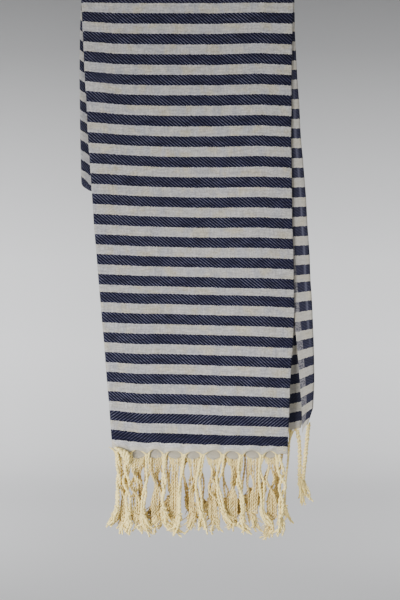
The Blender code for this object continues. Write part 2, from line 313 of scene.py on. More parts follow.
class RollPoint(NamedTuple):
    """A point of the roll at the front panel's left corner, in millimetres.

    The roll is a few yarns side by side, each a step from the one before.
    """

    x: float
    y: float
    z: float
    step_x: float
    step_z: float
    radius: float
    uneven: float = 0.5  # how far it may lie out of line, from front to back


ROLL = (
    RollPoint(-90.5, -30.4, -576.0, 2.2, -0.4, 1.8),
    RollPoint(-85.0, -32.9, -578.0, 3.0, -1.2, 3.0),
    RollPoint(-78.5, -32.6, -588.5, 1.8, 0.6, 2.8),
    RollPoint(-75.0, -32.2, -597.0, 0.6, 0.0, 1.4, 0.0),
)
ROLL_YARNS = 4
ROLL_TONE = -0.8


class Spot(NamedTuple):
    """A place across the sheet: a run and a share of it, or a turn after it and a share of that."""

    run: int
    share: float
    turning: bool

    @property
    def place(self) -> float:
        """The run and share as one number."""
        return self.run + (1.0 if self.turning else self.share)


class Stretch(Enum):
    """The parts of the sheet's way from the front hem to the hidden one."""

    FRONT = "front"
    CREST = "crest"
    BACK = "back"
    CROSS_FOLD = "cross fold"
    INNER_BACK = "inner back"
    INNER_CREST = "inner crest"
    INNER_FRONT = "inner front"


class Weft(NamedTuple):
    """One weft line of the mesh: its stretch, how far along that it lies, and its stripe phase."""

    stretch: Stretch
    value: float
    phase: float


class Side(Enum):
    """The two ends of the towel."""

    FRONT = "front"
    HIDDEN = "inner"


def eased(value: float, start: float, stop: float) -> float:
    """0 before start, 1 after stop, and a smooth rise between them."""
    share = min(max((value - start) / (stop - start), 0.0), 1.0)
    return share * share * (3 - 2 * share)


def mixed(a: float, b: float, share: float) -> float:
    """The number a share of the way from a to b."""
    return a + (b - a) * share


def looked_up(keys: Sequence[float], values: Sequence[float], wanted: float) -> float:
    """A straight-line reading between the rows of a table.

    Args:
        keys: the rising keys.
        values: one value for each key.
        wanted: the key to read at, held to the table's ends.

    Returns:
        The value there.
    """
    wanted = min(max(wanted, keys[0]), keys[-1])
    above = next(i for i in range(1, len(keys)) if wanted <= keys[i])
    share = (wanted - keys[above - 1]) / (keys[above] - keys[above - 1])
    return mixed(values[above - 1], values[above], share)


@dataclass(frozen=True)
class FoldedCourse:
    """The course of the folded sheet through space, by the CAD part's rules."""

    rod_radius: float = ROD_RADIUS
    pitch: float = LAYER_PITCH
    back_drop: float = BACK_DROP
    swell_from: float = 30 * MM  # how far below the rod's top the swells start, and are full
    swell_full: float = 110 * MM
    recess_from: float = 400 * MM  # the same for the rear layers' recess
    recess_full: float = 520 * MM
    recess_left: float = 40 * MM
    recess_right: float = 130 * MM

    def edges_at(self, height: float, behind: bool) -> Edges:
        """The folds and selvedges at a height of the front or the back, in metres.

        Args:
            height: the height, in metres.
            behind: whether to read the back.

        Returns:
            The edges there, in metres.
        """
        table = BACK_EDGES if behind else FRONT_EDGES
        keys = [row.height for row in table]
        columns = zip(*table, strict=True)
        return Edges(*(looked_up(keys, column, height / MM) * MM for column in columns))

    def lift(self, x: float, height: float) -> float:
        """How far the hidden flap lifts what lies over it."""
        return eased(x, RIDGE_LEFT, RIDGE_RIGHT) * eased(height, FLOW_BOTTOM, FLOW_TOP)

    def run_ends(self, edges: Edges, run: int) -> tuple[float, float]:
        """Where a run starts and stops, short of its rounded folds.

        Args:
            edges: the folds and selvedges there.
            run: the run.

        Returns:
            The two x, in metres.
        """
        inner_fold = edges.outer_fold + INNER_TUCK
        return (
            (edges.inner_selvedge, inner_fold + self.pitch / 2),
            (inner_fold + self.pitch / 2, edges.right_fold - self.pitch / 2),
            (edges.right_fold - self.pitch / 2, edges.outer_fold + 1.5 * self.pitch),
            (edges.outer_fold + 1.5 * self.pitch, edges.flap_fold - self.pitch),
            (edges.flap_fold - self.pitch, edges.flap_selvedge),
        )[run]

    def across(self, edges: Edges, spot: Spot, height: float) -> tuple[float, float]:
        """A spot's x and its distance from the face between the two halves.

        Args:
            edges: the folds and selvedges there.
            spot: the place across the sheet.
            height: the height that decides how far the flap lifts the front.

        Returns:
            x and the distance, in metres.
        """
        start, stop = self.run_ends(edges, spot.run)
        if not spot.turning:
            x = start + (stop - start) * spot.share
            layer = LAYERS[spot.run]
            return x, self.pitch * mixed(layer.left, layer.right, self.lift(x, height))
        share = self.lift(stop, height)
        low, high = (
            self.pitch * mixed(layer.left, layer.right, share)
            for layer in (LAYERS[spot.run], LAYERS[spot.run + 1])
        )
        angle = math.pi * spot.share
        outward = 1 if stop > 0 else -1
        bulge = self.pitch if spot.run == REAR_RUN else abs(high - low) / 2
        x = stop + outward * bulge * math.sin(angle)
        return x, (low + high) / 2 + (low - high) / 2 * math.cos(angle)

    def swell(self, x: float, height: float) -> float:
        """How far the hanging cloth swells towards the front at a place.

        Args:
            x: the place's x, in metres.
            height: its height.

        Returns:
            The distance, in metres.
        """
        total = 0.0
        for wave in WAVES:
            far = ((x / MM - wave.x) / wave.width) ** 2
            far += ((height / MM - wave.height) / wave.length) ** 2
            total += wave.swell * MM * math.exp(-far)
        spot = Vector((x * RIPPLE_ACROSS, 0.3, height * RIPPLE_ALONG))
        total += RIPPLE * noise.noise(spot)
        return total * eased(-height, self.swell_from, self.swell_full)

    def recess(self, spot: Spot, x: float, height: float, outer: bool) -> float:
        """How far the rear layers, and the hidden half, hang back from the panels at a place.

        Args:
            spot: the place across the sheet.
            x: its x, in metres.
            height: its height.
            outer: whether it is in the outer half.

        Returns:
            The distance, in metres.
        """
        part = 1.0 if spot.run in (INNER_RUN, REAR_RUN) or not outer else 0.0
        if outer and spot.run == REAR_RUN and spot.turning:
            part = 1 - spot.share
        low = eased(-height, self.recess_from, self.recess_full)
        return RECESS * part * eased(x, self.recess_left, self.recess_right) * low

    def base_radius(self, x: float, height: float) -> float:
        """The radius, about the rod's axis, of the face between the two halves."""
        layers = MOST_LAYERS - 1 + self.lift(x, height)
        return self.rod_radius + CAD_THICKNESS / 2 + self.pitch * layers

    def front(self, spot: Spot, height: float, outer: bool) -> Vector:
        """A point of the sheet where it hangs in front of the rod.

        Args:
            spot: the place across the sheet.
            height: the height, in metres.
            outer: whether the point is in the outer half.

        Returns:
            The point.
        """
        x, distance = self.across(self.edges_at(height, False), spot, height)
        radius = self.base_radius(x, height) + (distance if outer else -distance)
        radius -= self.recess(spot, x, height, outer)
        wander = EDGE_WANDER * noise.noise(Vector((0.7, 0.1, height * EDGE_WANDER_SCALE)))
        return Vector((x + wander, -radius - self.swell(x, height), height))

    def crest(self, spot: Spot, share: float, outer: bool) -> Vector:
        """A point of the sheet on its way over the rod, from the front at 0 to the back at 1.

        Args:
            spot: the place across the sheet.
            share: how far over the rod.
            outer: whether the point is in the outer half.

        Returns:
            The point.
        """
        ends = [self.edges_at(-self.rod_radius, behind) for behind in (False, True)]
        edges = Edges(*(mixed(a, b, share) for a, b in zip(*ends, strict=True)))
        x, distance = self.across(edges, spot, 0.0)
        radius = self.base_radius(x, 0.0) + (distance if outer else -distance)
        angle = math.pi * share
        height = radius * math.sin(angle) - self.rod_radius
        return Vector((x, -radius * math.cos(angle), height))

    def back(self, spot: Spot, height: float, outer: bool) -> Vector:
        """A point of the sheet where it hangs behind the rod.

        Args:
            spot: the place across the sheet.
            height: the height, in metres.
            outer: whether the point is in the outer half.

        Returns:
            The point.
        """
        x, distance = self.across(self.edges_at(height, True), spot, 0.0)
        radius = self.base_radius(x, 0.0) + (distance if outer else -distance)
        return Vector((x, radius, height))

    def cross_fold(self, spot: Spot, share: float) -> Vector:
        """A point of the sheet in the crosswise fold at the foot of the back.

        Args:
            spot: the place across the sheet.
            share: how far round the fold, from the outer half.

        Returns:
            The point.
        """
        height = -self.rod_radius - self.back_drop
        x, distance = self.across(self.edges_at(height, True), spot, 0.0)
        angle = math.pi * share
        radius = self.base_radius(x, 0.0) + distance * math.cos(angle)
        return Vector((x, radius, height - distance * math.sin(angle)))

    def front_hem(self, spot: Spot) -> float:
        """The front hem's height at a spot, as the CAD part has it."""
        keys = [point.run + point.share for point in FRONT_HEM]
        return looked_up(keys, [point.height * MM for point in FRONT_HEM], spot.place)

    def inner_hem(self, spot: Spot) -> float:
        """The hidden hem's height, which the towel's length and each layer's path decide.

        Args:
            spot: the place across the sheet.

        Returns:
            The height, in metres.
        """
        middles = [layer.left for layer in LAYERS]
        layer = looked_up([run + 0.5 for run in range(len(LAYERS))], middles, spot.place)
        x, _ = self.across(self.edges_at(-self.rod_radius, False), spot, 0.0)
        over_rod = 2 * math.pi * self.base_radius(x, 0.0)
        over_cross_fold = math.pi * self.pitch * layer
        front = -self.rod_radius - self.front_hem(spot)
        rest = TOWEL_LENGTH - front - over_rod - over_cross_fold - 2 * self.back_drop
        return -self.rod_radius - rest


def lock_roots(course: FoldedCourse) -> list[Spot]:
    """The middle of each lock's root along the folded hem, row by row.

    Args:
        course: the course of the sheet.

    Returns:
        The places across the sheet.
    """
    spots = []
    for run, row in ROWS.items():
        edges = course.edges_at(course.front_hem(Spot(run, 0.5, False)), False)
        start, stop = course.run_ends(edges, run)
        shares = [(i + 0.5) / row.locks for i in range(row.locks)]
        if run in PLACED_LOCKS:
            shares = [(x * MM - start) / (stop - start) for x in PLACED_LOCKS[run]]
        spots += [Spot(run, share, False) for share in shares]
    return spots


def rows_between(start: float, stop: float, count: int) -> list[float]:
    """Evenly spaced numbers after start, up to and with stop."""
    return [mixed(start, stop, (i + 1) / count) for i in range(count)]


def placed(name: str, mesh: bpy.types.Mesh) -> bpy.types.Object:
    """A new object in the scene that shows a mesh.

    Args:
        name: the object's name.
        mesh: the mesh.

    Returns:
        The object.
    """
    made = bpy.data.objects.new(name, mesh)
    bpy.context.scene.collection.objects.link(made)
    return made


def store(mesh: bpy.types.Mesh, name: str, numbers: list[float]) -> None:
    """Keeps one number for each point of a mesh, for its nodes to read."""
    mesh.attributes.new(name, "FLOAT", "POINT").data.foreach_set("value", numbers)


class Graph:
    """Short calls for building a node tree."""

    def __init__(self, tree: bpy.types.NodeTree) -> None:
        """Keeps the tree that the nodes go into."""
        self.tree = tree

    def node(self, kind: str, settings: dict[str, object] | None = None, **inputs: object) -> bpy.types.Node:
        """Adds a node.

        Args:
            kind: the node's type.
            settings: its properties.
            inputs: sockets or values for its inputs, by name with _ for a space, or in0, in1, ...

        Returns:
            The node.
        """
        made = self.tree.nodes.new(kind)
        for name, value in (settings or {}).items():
            setattr(made, name, value)
        for name, value in inputs.items():
            numbered = name.startswith("in") and name[2:].isdigit()
            target = made.inputs[int(name[2:])] if numbered else made.inputs[name.replace("_", " ")]
            if isinstance(value, Socket):
                self.tree.links.new(value, target)
            else:
                target.default_value = value
        return made

    def math(self, operation: str, *values: object) -> Socket:
        """The result of Math nodes that take the values one after another.

        Args:
            operation: what each node does.
            values: sockets or numbers.

        Returns:
            The result.
        """
        if len(values) == 1:
            return self.node("ShaderNodeMath", {"operation": operation}, in0=values[0]).outputs[0]
        result = values[0]
        for value in values[1:]:
            result = self.node("ShaderNodeMath", {"operation": operation}, in0=result, in1=value).outputs[0]
        return result

    def times(self, *factors: object) -> Socket:
        """A product."""
        return self.math("MULTIPLY", *factors)

    def plus(self, *terms: object) -> Socket:
        """A sum."""
        return self.math("ADD", *terms)

    def less(self, value: object, taken: object) -> Socket:
        """A difference."""
        return self.math("SUBTRACT", value, taken)

    def over(self, value: object, divisor: object) -> Socket:
        """A quotient."""
        return self.math("DIVIDE", value, divisor)

    def stored(self, name: str) -> Socket:
        """A number that is stored at the points of the mesh, for a material."""
        return self.node("ShaderNodeAttribute", {"attribute_name": name}).outputs["Fac"]

    def ramp(self, value: object, low: float, high: float, start: float = 0.0, stop: float = 1.0) -> Socket:
        """A value carried smoothly from low..high to start..stop, and held at the ends.

        Args:
            value: the value.
            low: where the rise starts.
            high: where it stops.
            start: the result below low.
            stop: the result above high.

        Returns:
            The result.
        """
        settings = {"interpolation_type": "SMOOTHSTEP", "clamp": True}
        made = self.node("ShaderNodeMapRange", settings, in0=value, in1=low, in2=high, in3=start, in4=stop)
        return made.outputs[0]

    def blend(self, share: object, a: object, b: object, kind: str = "MIX") -> Socket:
        """Two colours mixed."""
        settings = {"data_type": "RGBA", "blend_type": kind}
        return self.node("ShaderNodeMix", settings, in0=share, in6=a, in7=b).outputs[2]

    def shade(self, colour: object, factor: object) -> Socket:
        """A colour made lighter or darker."""
        grey = self.node("ShaderNodeCombineColor", None, Red=factor, Green=factor, Blue=factor)
        return self.blend(1.0, colour, grey.outputs[0], "MULTIPLY")


class Finish:
    """A new material on its way: its nodes, its shader, and the shader's constants."""

    def __init__(self, name: str, roughness: float, specular: float, sheen: float = 0.0) -> None:
        """Starts the material and sets what is the same all over it.

        Args:
            name: the material's name.
            roughness: the shader's roughness.
            specular: the shader's specular level.
            sheen: the shader's sheen weight.
        """
        self.material = bpy.data.materials.new(name)
        self.material.use_nodes = True
        self.graph = Graph(self.material.node_tree)
        self.shader = self.material.node_tree.nodes["Principled BSDF"]
        self.shader.inputs["Roughness"].default_value = roughness
        self.shader.inputs["Specular IOR Level"].default_value = specular
        self.shader.inputs["Sheen Weight"].default_value = sheen

    def closed(
        self, colour: Socket, height: Socket | None, strength: float, relief: float
    ) -> bpy.types.Material:
        """Links the colour and the relief, and gives the finished material.

        Args:
            colour: the colour.
            height: the height that the relief follows, if there is relief.
            strength: the relief's strength.
            relief: its depth, in metres.

        Returns:
            The material.
        """
        links = self.material.node_tree.links
        links.new(colour, self.shader.inputs["Base Color"])
        if height:
            bump = self.graph.node("ShaderNodeBump", None, Strength=strength, Distance=relief, Height=height)
            links.new(bump.outputs[0], self.shader.inputs["Normal"])
        return self.material


@dataclass
class TowelCloth:
    """The folded sheet: weft lines along the stripes, warp columns through every fold."""

    course: FoldedCourse
    thickness: float = 1.0 * MM
    run_columns: tuple[int, ...] = (56, 86, 104, 46, 16)
    turn_columns: int = 7
    crest_radius: float = 26 * MM
    cross_fold_length: float = 14 * MM
    hidden_rows: int = 26
    hem_phases: tuple[float, ...] = (0.12, 0.19, 0.27, 0.37)  # extra weft lines by the hem
    arch_height: tuple[float, ...] = (2.4 * MM, 3.0 * MM, 4.6 * MM, 2.4 * MM, 2.0 * MM)
    point_drop: float = 1.6 * MM
    arch_reach: float = 15 * MM  # how far above the hem the arches still show
    arch_bulge: float = 2.2 * MM
    lobe_reach: float = 10.5 * MM  # the second row's hem hangs in round lobes
    lobe_rise: float = 5.5 * MM
    back_slant: float = 0.75
    back_shift: float = 0.26  # how far the back's stripes drift from the front's count
    slant_start: float = -112 * MM
    corner_start: float = -122.5 * MM  # where the back's lower left corner starts to draw up
    corner_slope: float = 0.62
    corner_height: float = 17 * MM
    inner_edge_width: float = 2.4 * MM
    selvedge_width: float = 8.0 * MM
    rear_twill_and_light: float = 0.2  # how strong the twill lines are away from the front panel; there it also sets the painted light, navy lightened and cream warmed
    lobe_shade_phase: float = 0.6  # how far up the lobes' painted shade reaches
    lobe_shade_shares: tuple[float, float] = (0.4, 1.0)  # at the hem, a warm tint of the ecru yarn, and above it, painted shade under the front hem
    highlight_reach: float = 10.0  # how far in from the flap's fold the painted highlight runs, in millimetres
    highlight_width: float = 1.2
    highlight_foot: float = -470 * MM
    highlight_top: float = -400 * MM
    roots: dict[int, list[float]] = field(default_factory=dict)

    def spots(self) -> list[Spot]:
        """Every warp column, from the inner selvedge to the flap's.

        Returns:
            The places across the sheet, in order.
        """
        spots = [Spot(0, 0.0, False)]
        for run, count in enumerate(self.run_columns):
            last = run == FLAP_RUN
            shares = rows_between(0.0, 1.0, count)
            spots += [Spot(run, share, False) for share in (shares if last else shares[:-1])]
            if not last:
                turns = range(self.turn_columns + 1)
                spots += [Spot(run, i / self.turn_columns, True) for i in turns]
        return spots

    def wefts(self) -> list[Weft]:
        """Every weft line of the mesh, from the front hem to the hidden one.

        Returns:
            The weft lines, in order.
        """
        phases = [HEM_PHASE, *self.hem_phases]
        for band in range(1, math.ceil(ROD_PHASE)):
            phases += [band - BAND_SHARE, band]
            if band % 2:
                phases.append(band + 0.24)
        rows = [Weft(Stretch.FRONT, phase, phase) for phase in sorted([*phases, ROD_PHASE])]
        foot = self.course.back_drop
        over = math.pi * self.crest_radius
        stretches = (
            (Stretch.CREST, 0.0, 1.0, 16, over),
            (Stretch.BACK, 0.0, foot, 12, foot),
            (Stretch.CROSS_FOLD, 0.0, 1.0, 8, self.cross_fold_length),
            (Stretch.INNER_BACK, foot, 0.0, 12, foot),
            (Stretch.INNER_CREST, 1.0, 0.0, 12, over * 0.6),
        )  # each with where it starts and stops, its weft lines, and the cloth's length there
        phase = ROD_PHASE
        for stretch, start, stop, count, length in stretches:
            for i, value in enumerate(rows_between(start, stop, count)):
                rows.append(Weft(stretch, value, phase + length * (i + 1) / count / BAND_PITCH))
            phase = rows[-1].phase
        shares = rows_between(0.0, 1.0, self.hidden_rows)
        rows += [Weft(Stretch.INNER_FRONT, s, mixed(phase, HIDDEN_HEM_PHASE, s)) for s in shares]
        return rows

    def arch(self, run: int, x: float) -> float:
        """How far the hem arches up between two bundles of the fringe: 0 at a bundle, 1 mid-way.

        Args:
            run: the run.
            x: the x, in metres.

        Returns:
            The share.
        """
        roots = self.roots[run]
        below = [root for root in roots if root <= x]
        above = [root for root in roots if root > x]
        if not below or not above:
            near = min(abs(x - root) for root in roots)
            return math.sin(min(near / (20 * MM), 0.5) * math.pi)
        share = (x - below[-1]) / (above[0] - below[-1])
        return math.sin(math.pi * share) ** 0.8

    def scallop(self, spot: Spot, x: float, above_hem: float) -> tuple[float, float]:
        """How far the hem's scallops move a point up and towards the front.

        Args:
            spot: the place across the sheet.
            x: its x, in metres.
            above_hem: its distance from the hem.

        Returns:
            The two moves, in metres.
        """
        fade = max(1 - above_hem / self.arch_reach, 0.0) ** 1.6
        if fade == 0 or spot.turning or spot.run == FLAP_RUN:
            return 0.0, 0.0
        part = min(min(spot.share, 1 - spot.share) * 12, 1.0)
        up = self.hem_rise(spot.run, x) * fade * part
        out = self.arch_bulge * self.arch(spot.run, x) * fade * part if spot.run == FRONT_RUN else 0.0
        return up, out

    def hem_rise(self, run: int, x: float) -> float:
        """How far the scallops lift the hem of a run at x: in arches, or between the lobes.

        Args:
            run: the run.
            x: the x, in metres.

        Returns:
            The rise, in metres, below 0 where the hem dips.
        """
        uneven = 1 + 0.5 * noise.noise(Vector((x * 55, 0.4, run * 3.1)))
        if run == MIDDLE_RUN:
            near = min(abs(x - root) for root in self.roots[run])
            lobe = math.sqrt(max(1 - (near / self.lobe_reach) ** 2, 0.0))
            return self.lobe_rise * (1 - lobe) - self.point_drop * lobe * uneven
        arch = self.arch(run, x)
        return self.arch_height[run] * arch * uneven - self.point_drop * (1 - arch) ** 2

    def front_height(self, spot: Spot, phase: float) -> float:
        """The height of a weft line at a spot of the front.

        Args:
            spot: the place across the sheet.
            phase: the weft line's stripe phase.

        Returns:
            The height, in metres.
        """
        rows = FRONT_ROWS
        middle = looked_up([r.phase for r in rows], [r.height for r in rows], phase)
        rises = [looked_up(RISE_PHASES, rise.heights, phase) for rise in RISES]
        height = middle + looked_up([rise.place for rise in RISES], rises, spot.place)
        if phase < HEM_DROP_PHASE:
            places, drops = zip(*HEM_DROPS, strict=True)
            share = (HEM_DROP_PHASE - phase) / (HEM_DROP_PHASE - HEM_PHASE)
            height -= looked_up(places, drops, spot.place) * share
        return height * MM

    def point(self, spot: Spot, weft: Weft) -> Vector:
        """The sheet's point at one spot on one weft line.

        Args:
            spot: the warp column.
            weft: the weft line.

        Returns:
            The point.
        """
        course, value = self.course, weft.value
        if weft.stretch is Stretch.FRONT:
            flat = course.front(spot, self.front_height(spot, weft.phase), True)
            above = (weft.phase - HEM_PHASE) * BAND_PITCH
            up, out = self.scallop(spot, flat.x, above)
            return flat + Vector((0, -out, up))
        if weft.stretch is Stretch.CREST:
            return course.crest(spot, value, True)
        if weft.stretch is Stretch.BACK:
            return self.drawn_up(course.back(spot, -course.rod_radius - value, True))
        if weft.stretch is Stretch.CROSS_FOLD:
            return self.drawn_up(course.cross_fold(spot, value))
        if weft.stretch is Stretch.INNER_BACK:
            return self.drawn_up(course.back(spot, -course.rod_radius - value, False))
        if weft.stretch is Stretch.INNER_CREST:
            return course.crest(spot, value, False)
        top, hem = -course.rod_radius, course.inner_hem(spot)
        return course.front(spot, mixed(top, hem, value), False)

    def drawn_up(self, point: Vector) -> Vector:
        """A point of the back, lifted where the crosswise fold runs up along the stripes at the left.

        Args:
            point: the point.

        Returns:
            The lifted point.
        """
        above_foot = point.z + self.course.rod_radius + self.course.back_drop
        near = min(max(1 - above_foot / self.corner_height, 0.0), 1.0)
        return point + Vector((0, 0, near * self.corner_slope * max(self.corner_start - point.x, 0.0)))

    def slant(self, weft: Weft, x: float) -> float:
        """How far the back's stripes are shifted, and run aslant near its left fold, as a phase.

        Args:
            weft: the weft line.
            x: the point's x, in metres.

        Returns:
            The shift, in stripes.
        """
        if weft.stretch in (Stretch.FRONT, Stretch.CREST, Stretch.INNER_FRONT):
            return 0.0
        if weft.stretch is Stretch.INNER_CREST:
            return self.back_shift * weft.value
        down = weft.value / self.course.back_drop if weft.stretch is Stretch.BACK else 1.0
        lean = max(self.slant_start - x, 0.0) * self.back_slant / BAND_PITCH
        return self.back_shift * down - lean

    def lengths_across(self, points: list[list[Vector]]) -> list[list[float]]:
        """How far each column lies from the inner selvedge, weft line by weft line.

        Args:
            points: the sheet's points, column by column.

        Returns:
            The lengths, by weft line and then by column, in metres.
        """
        lines = []
        for line in zip(*points, strict=True):
            lengths = [0.0]
            for before, after in zip(line, line[1:]):
                lengths.append(lengths[-1] + (after - before).length)
            lines.append(lengths)
        return lines

    def lobe_painted_shade(self, spot: Spot, weft: Weft) -> float:
        """How much of the lobes' colour a point takes: a warm tint at the hem, and more above it as painted
        shade under the front hem's arches.

        Args:
            spot: the warp column.
            weft: the weft line.

        Returns:
            The share.
        """
        if spot.run != MIDDLE_RUN or spot.turning or weft.phase >= self.lobe_shade_phase:
            return 0.0
        return mixed(*self.lobe_shade_shares, eased((weft.phase - HEM_PHASE) * BAND_PITCH, 0.5 * MM, 5 * MM))

    def highlight_share(self, from_fold: float, height: float) -> float:
        """How much painted highlight the cloth takes at a distance from the flap's fold."""
        near = math.exp(-((from_fold / MM - self.highlight_reach) / self.highlight_width) ** 2)
        return near * eased(height, self.highlight_foot, self.highlight_top)

    def point_values(
        self, spots: list[Spot], wefts: list[Weft], points: list[list[Vector]], across: list[list[float]]
    ) -> dict[str, list[float]]:
        """The numbers that the weave reads at the sheet's points.

        Args:
            spots: the warp columns.
            wefts: the weft lines.
            points: the sheet's points, column by column.
            across: how far they lie from the inner selvedge, by weft line and then by column.

        Returns:
            The numbers by name: the share of the way in from a selvedge; the twill's strength, which
            also sets the painted light of the rear runs; the lobes' painted shade; and the painted
            highlight along the flap's fold.
        """
        places = [(c, r) for c in range(len(spots)) for r in range(len(wefts))]
        fold = next(i for i, spot in enumerate(spots) if spot.place >= FLAP_RUN)
        near, far = self.inner_edge_width, self.selvedge_width
        return {
            "inset": [min(across[r][c] / near, (across[r][-1] - across[r][c]) / far) for c, r in places],
            "twill": [1.0 if spots[c].run in (MIDDLE_RUN, FRONT_RUN) else self.rear_twill_and_light for c, _ in places],
            "lobe": [self.lobe_painted_shade(spots[c], wefts[r]) for c, r in places],
            "fold_highlight": [self.highlight_share(across[r][c] - across[r][fold], points[c][r].z) for c, r in places],
        }

    def build(self, weave: bpy.types.Material) -> bpy.types.Object:
        """Makes the sheet, gives it its thickness and dresses it.

        Args:
            weave: the cloth's material.

        Returns:
            The sheet.
        """
        spots, wefts = self.spots(), self.wefts()
        points = [[self.point(spot, weft) for weft in wefts] for spot in spots]
        rows = len(wefts)
        across = self.lengths_across(points)
        middle = next(i for i, spot in enumerate(spots) if spot.place >= FRONT_RUN + 0.5)
        faces = [
            (c * rows + r, (c + 1) * rows + r, (c + 1) * rows + r + 1, c * rows + r + 1)
            for c in range(len(spots) - 1)
            for r in range(rows - 1)
        ]
        mesh = bpy.data.meshes.new("towel_sheet")
        mesh.from_pydata([point for column in points for point in column], [], faces)
        uv = mesh.uv_layers.new(name="Weave")
        for loop in mesh.loops:
            column, row = divmod(loop.vertex_index, rows)
            phase = wefts[row].phase + self.slant(wefts[row], points[column][row].x)
            uv.data[loop.index].uv = (across[row][column] - across[row][middle], phase * BAND_PITCH)
        for name, numbers in self.point_values(spots, wefts, points, across).items():
            store(mesh, name, numbers)
        for polygon in mesh.polygons:
            polygon.use_smooth = True
        sheet = placed("towel_sheet", mesh)
        thicken = sheet.modifiers.new("Thickness", "SOLIDIFY")
        thicken.thickness = self.thickness
        thicken.offset = 0.0
        thicken.use_even_offset = True
        mesh.materials.append(weave)
        return sheet


class Strand(NamedTuple):
    """One yarn or cord: its course, its radius at each point, and how it twists and is tinted."""

    points: list[Vector]
    radii: list[float]
    turn: float
    tone: float
    loose: bool
    fade: float


@dataclass
class Skein:
    """Strands that become one mesh: plied cords and loose yarns."""

    name: str
    strands: list[Strand] = field(default_factory=list)

    def add(
        self,
        points: list[Vector],
        radii: list[float],
        tone: float,
        turn: float = 0.0,
        loose: bool = False,
        fade: float = 0.0,
    ) -> None:
        """Adds one strand; fade makes its far end paler."""
        self.strands.append(Strand(points, radii, turn, tone, loose, fade))

    def wire(self) -> bpy.types.Object:
        """The strands as edges, with their radius, twist, tone and kind stored at each point.

        Returns:
            An object with edges only.
        """
        points, edges = [], []
        values: dict[str, list[float]] = {"thick": [], "turn": [], "tone": [], "loose": []}
        for strand in self.strands:
            first = len(points)
            points += strand.points
            edges += [(first + i, first + i + 1) for i in range(len(strand.points) - 1)]
            count = len(strand.points)
            values["thick"] += strand.radii
            values["turn"] += [strand.turn + 0.7 * math.sin(1.9 * i + strand.turn * 5) for i in range(count)]
            values["tone"] += [strand.tone - strand.fade * i / (count - 1) for i in range(count)]
            values["loose"] += [float(strand.loose)] * count
        mesh = bpy.data.meshes.new(self.name + "_wire")
        mesh.from_pydata(points, edges, [])
        for name, numbers in values.items():
            store(mesh, name, numbers)
        return placed(self.name + "_wire", mesh)


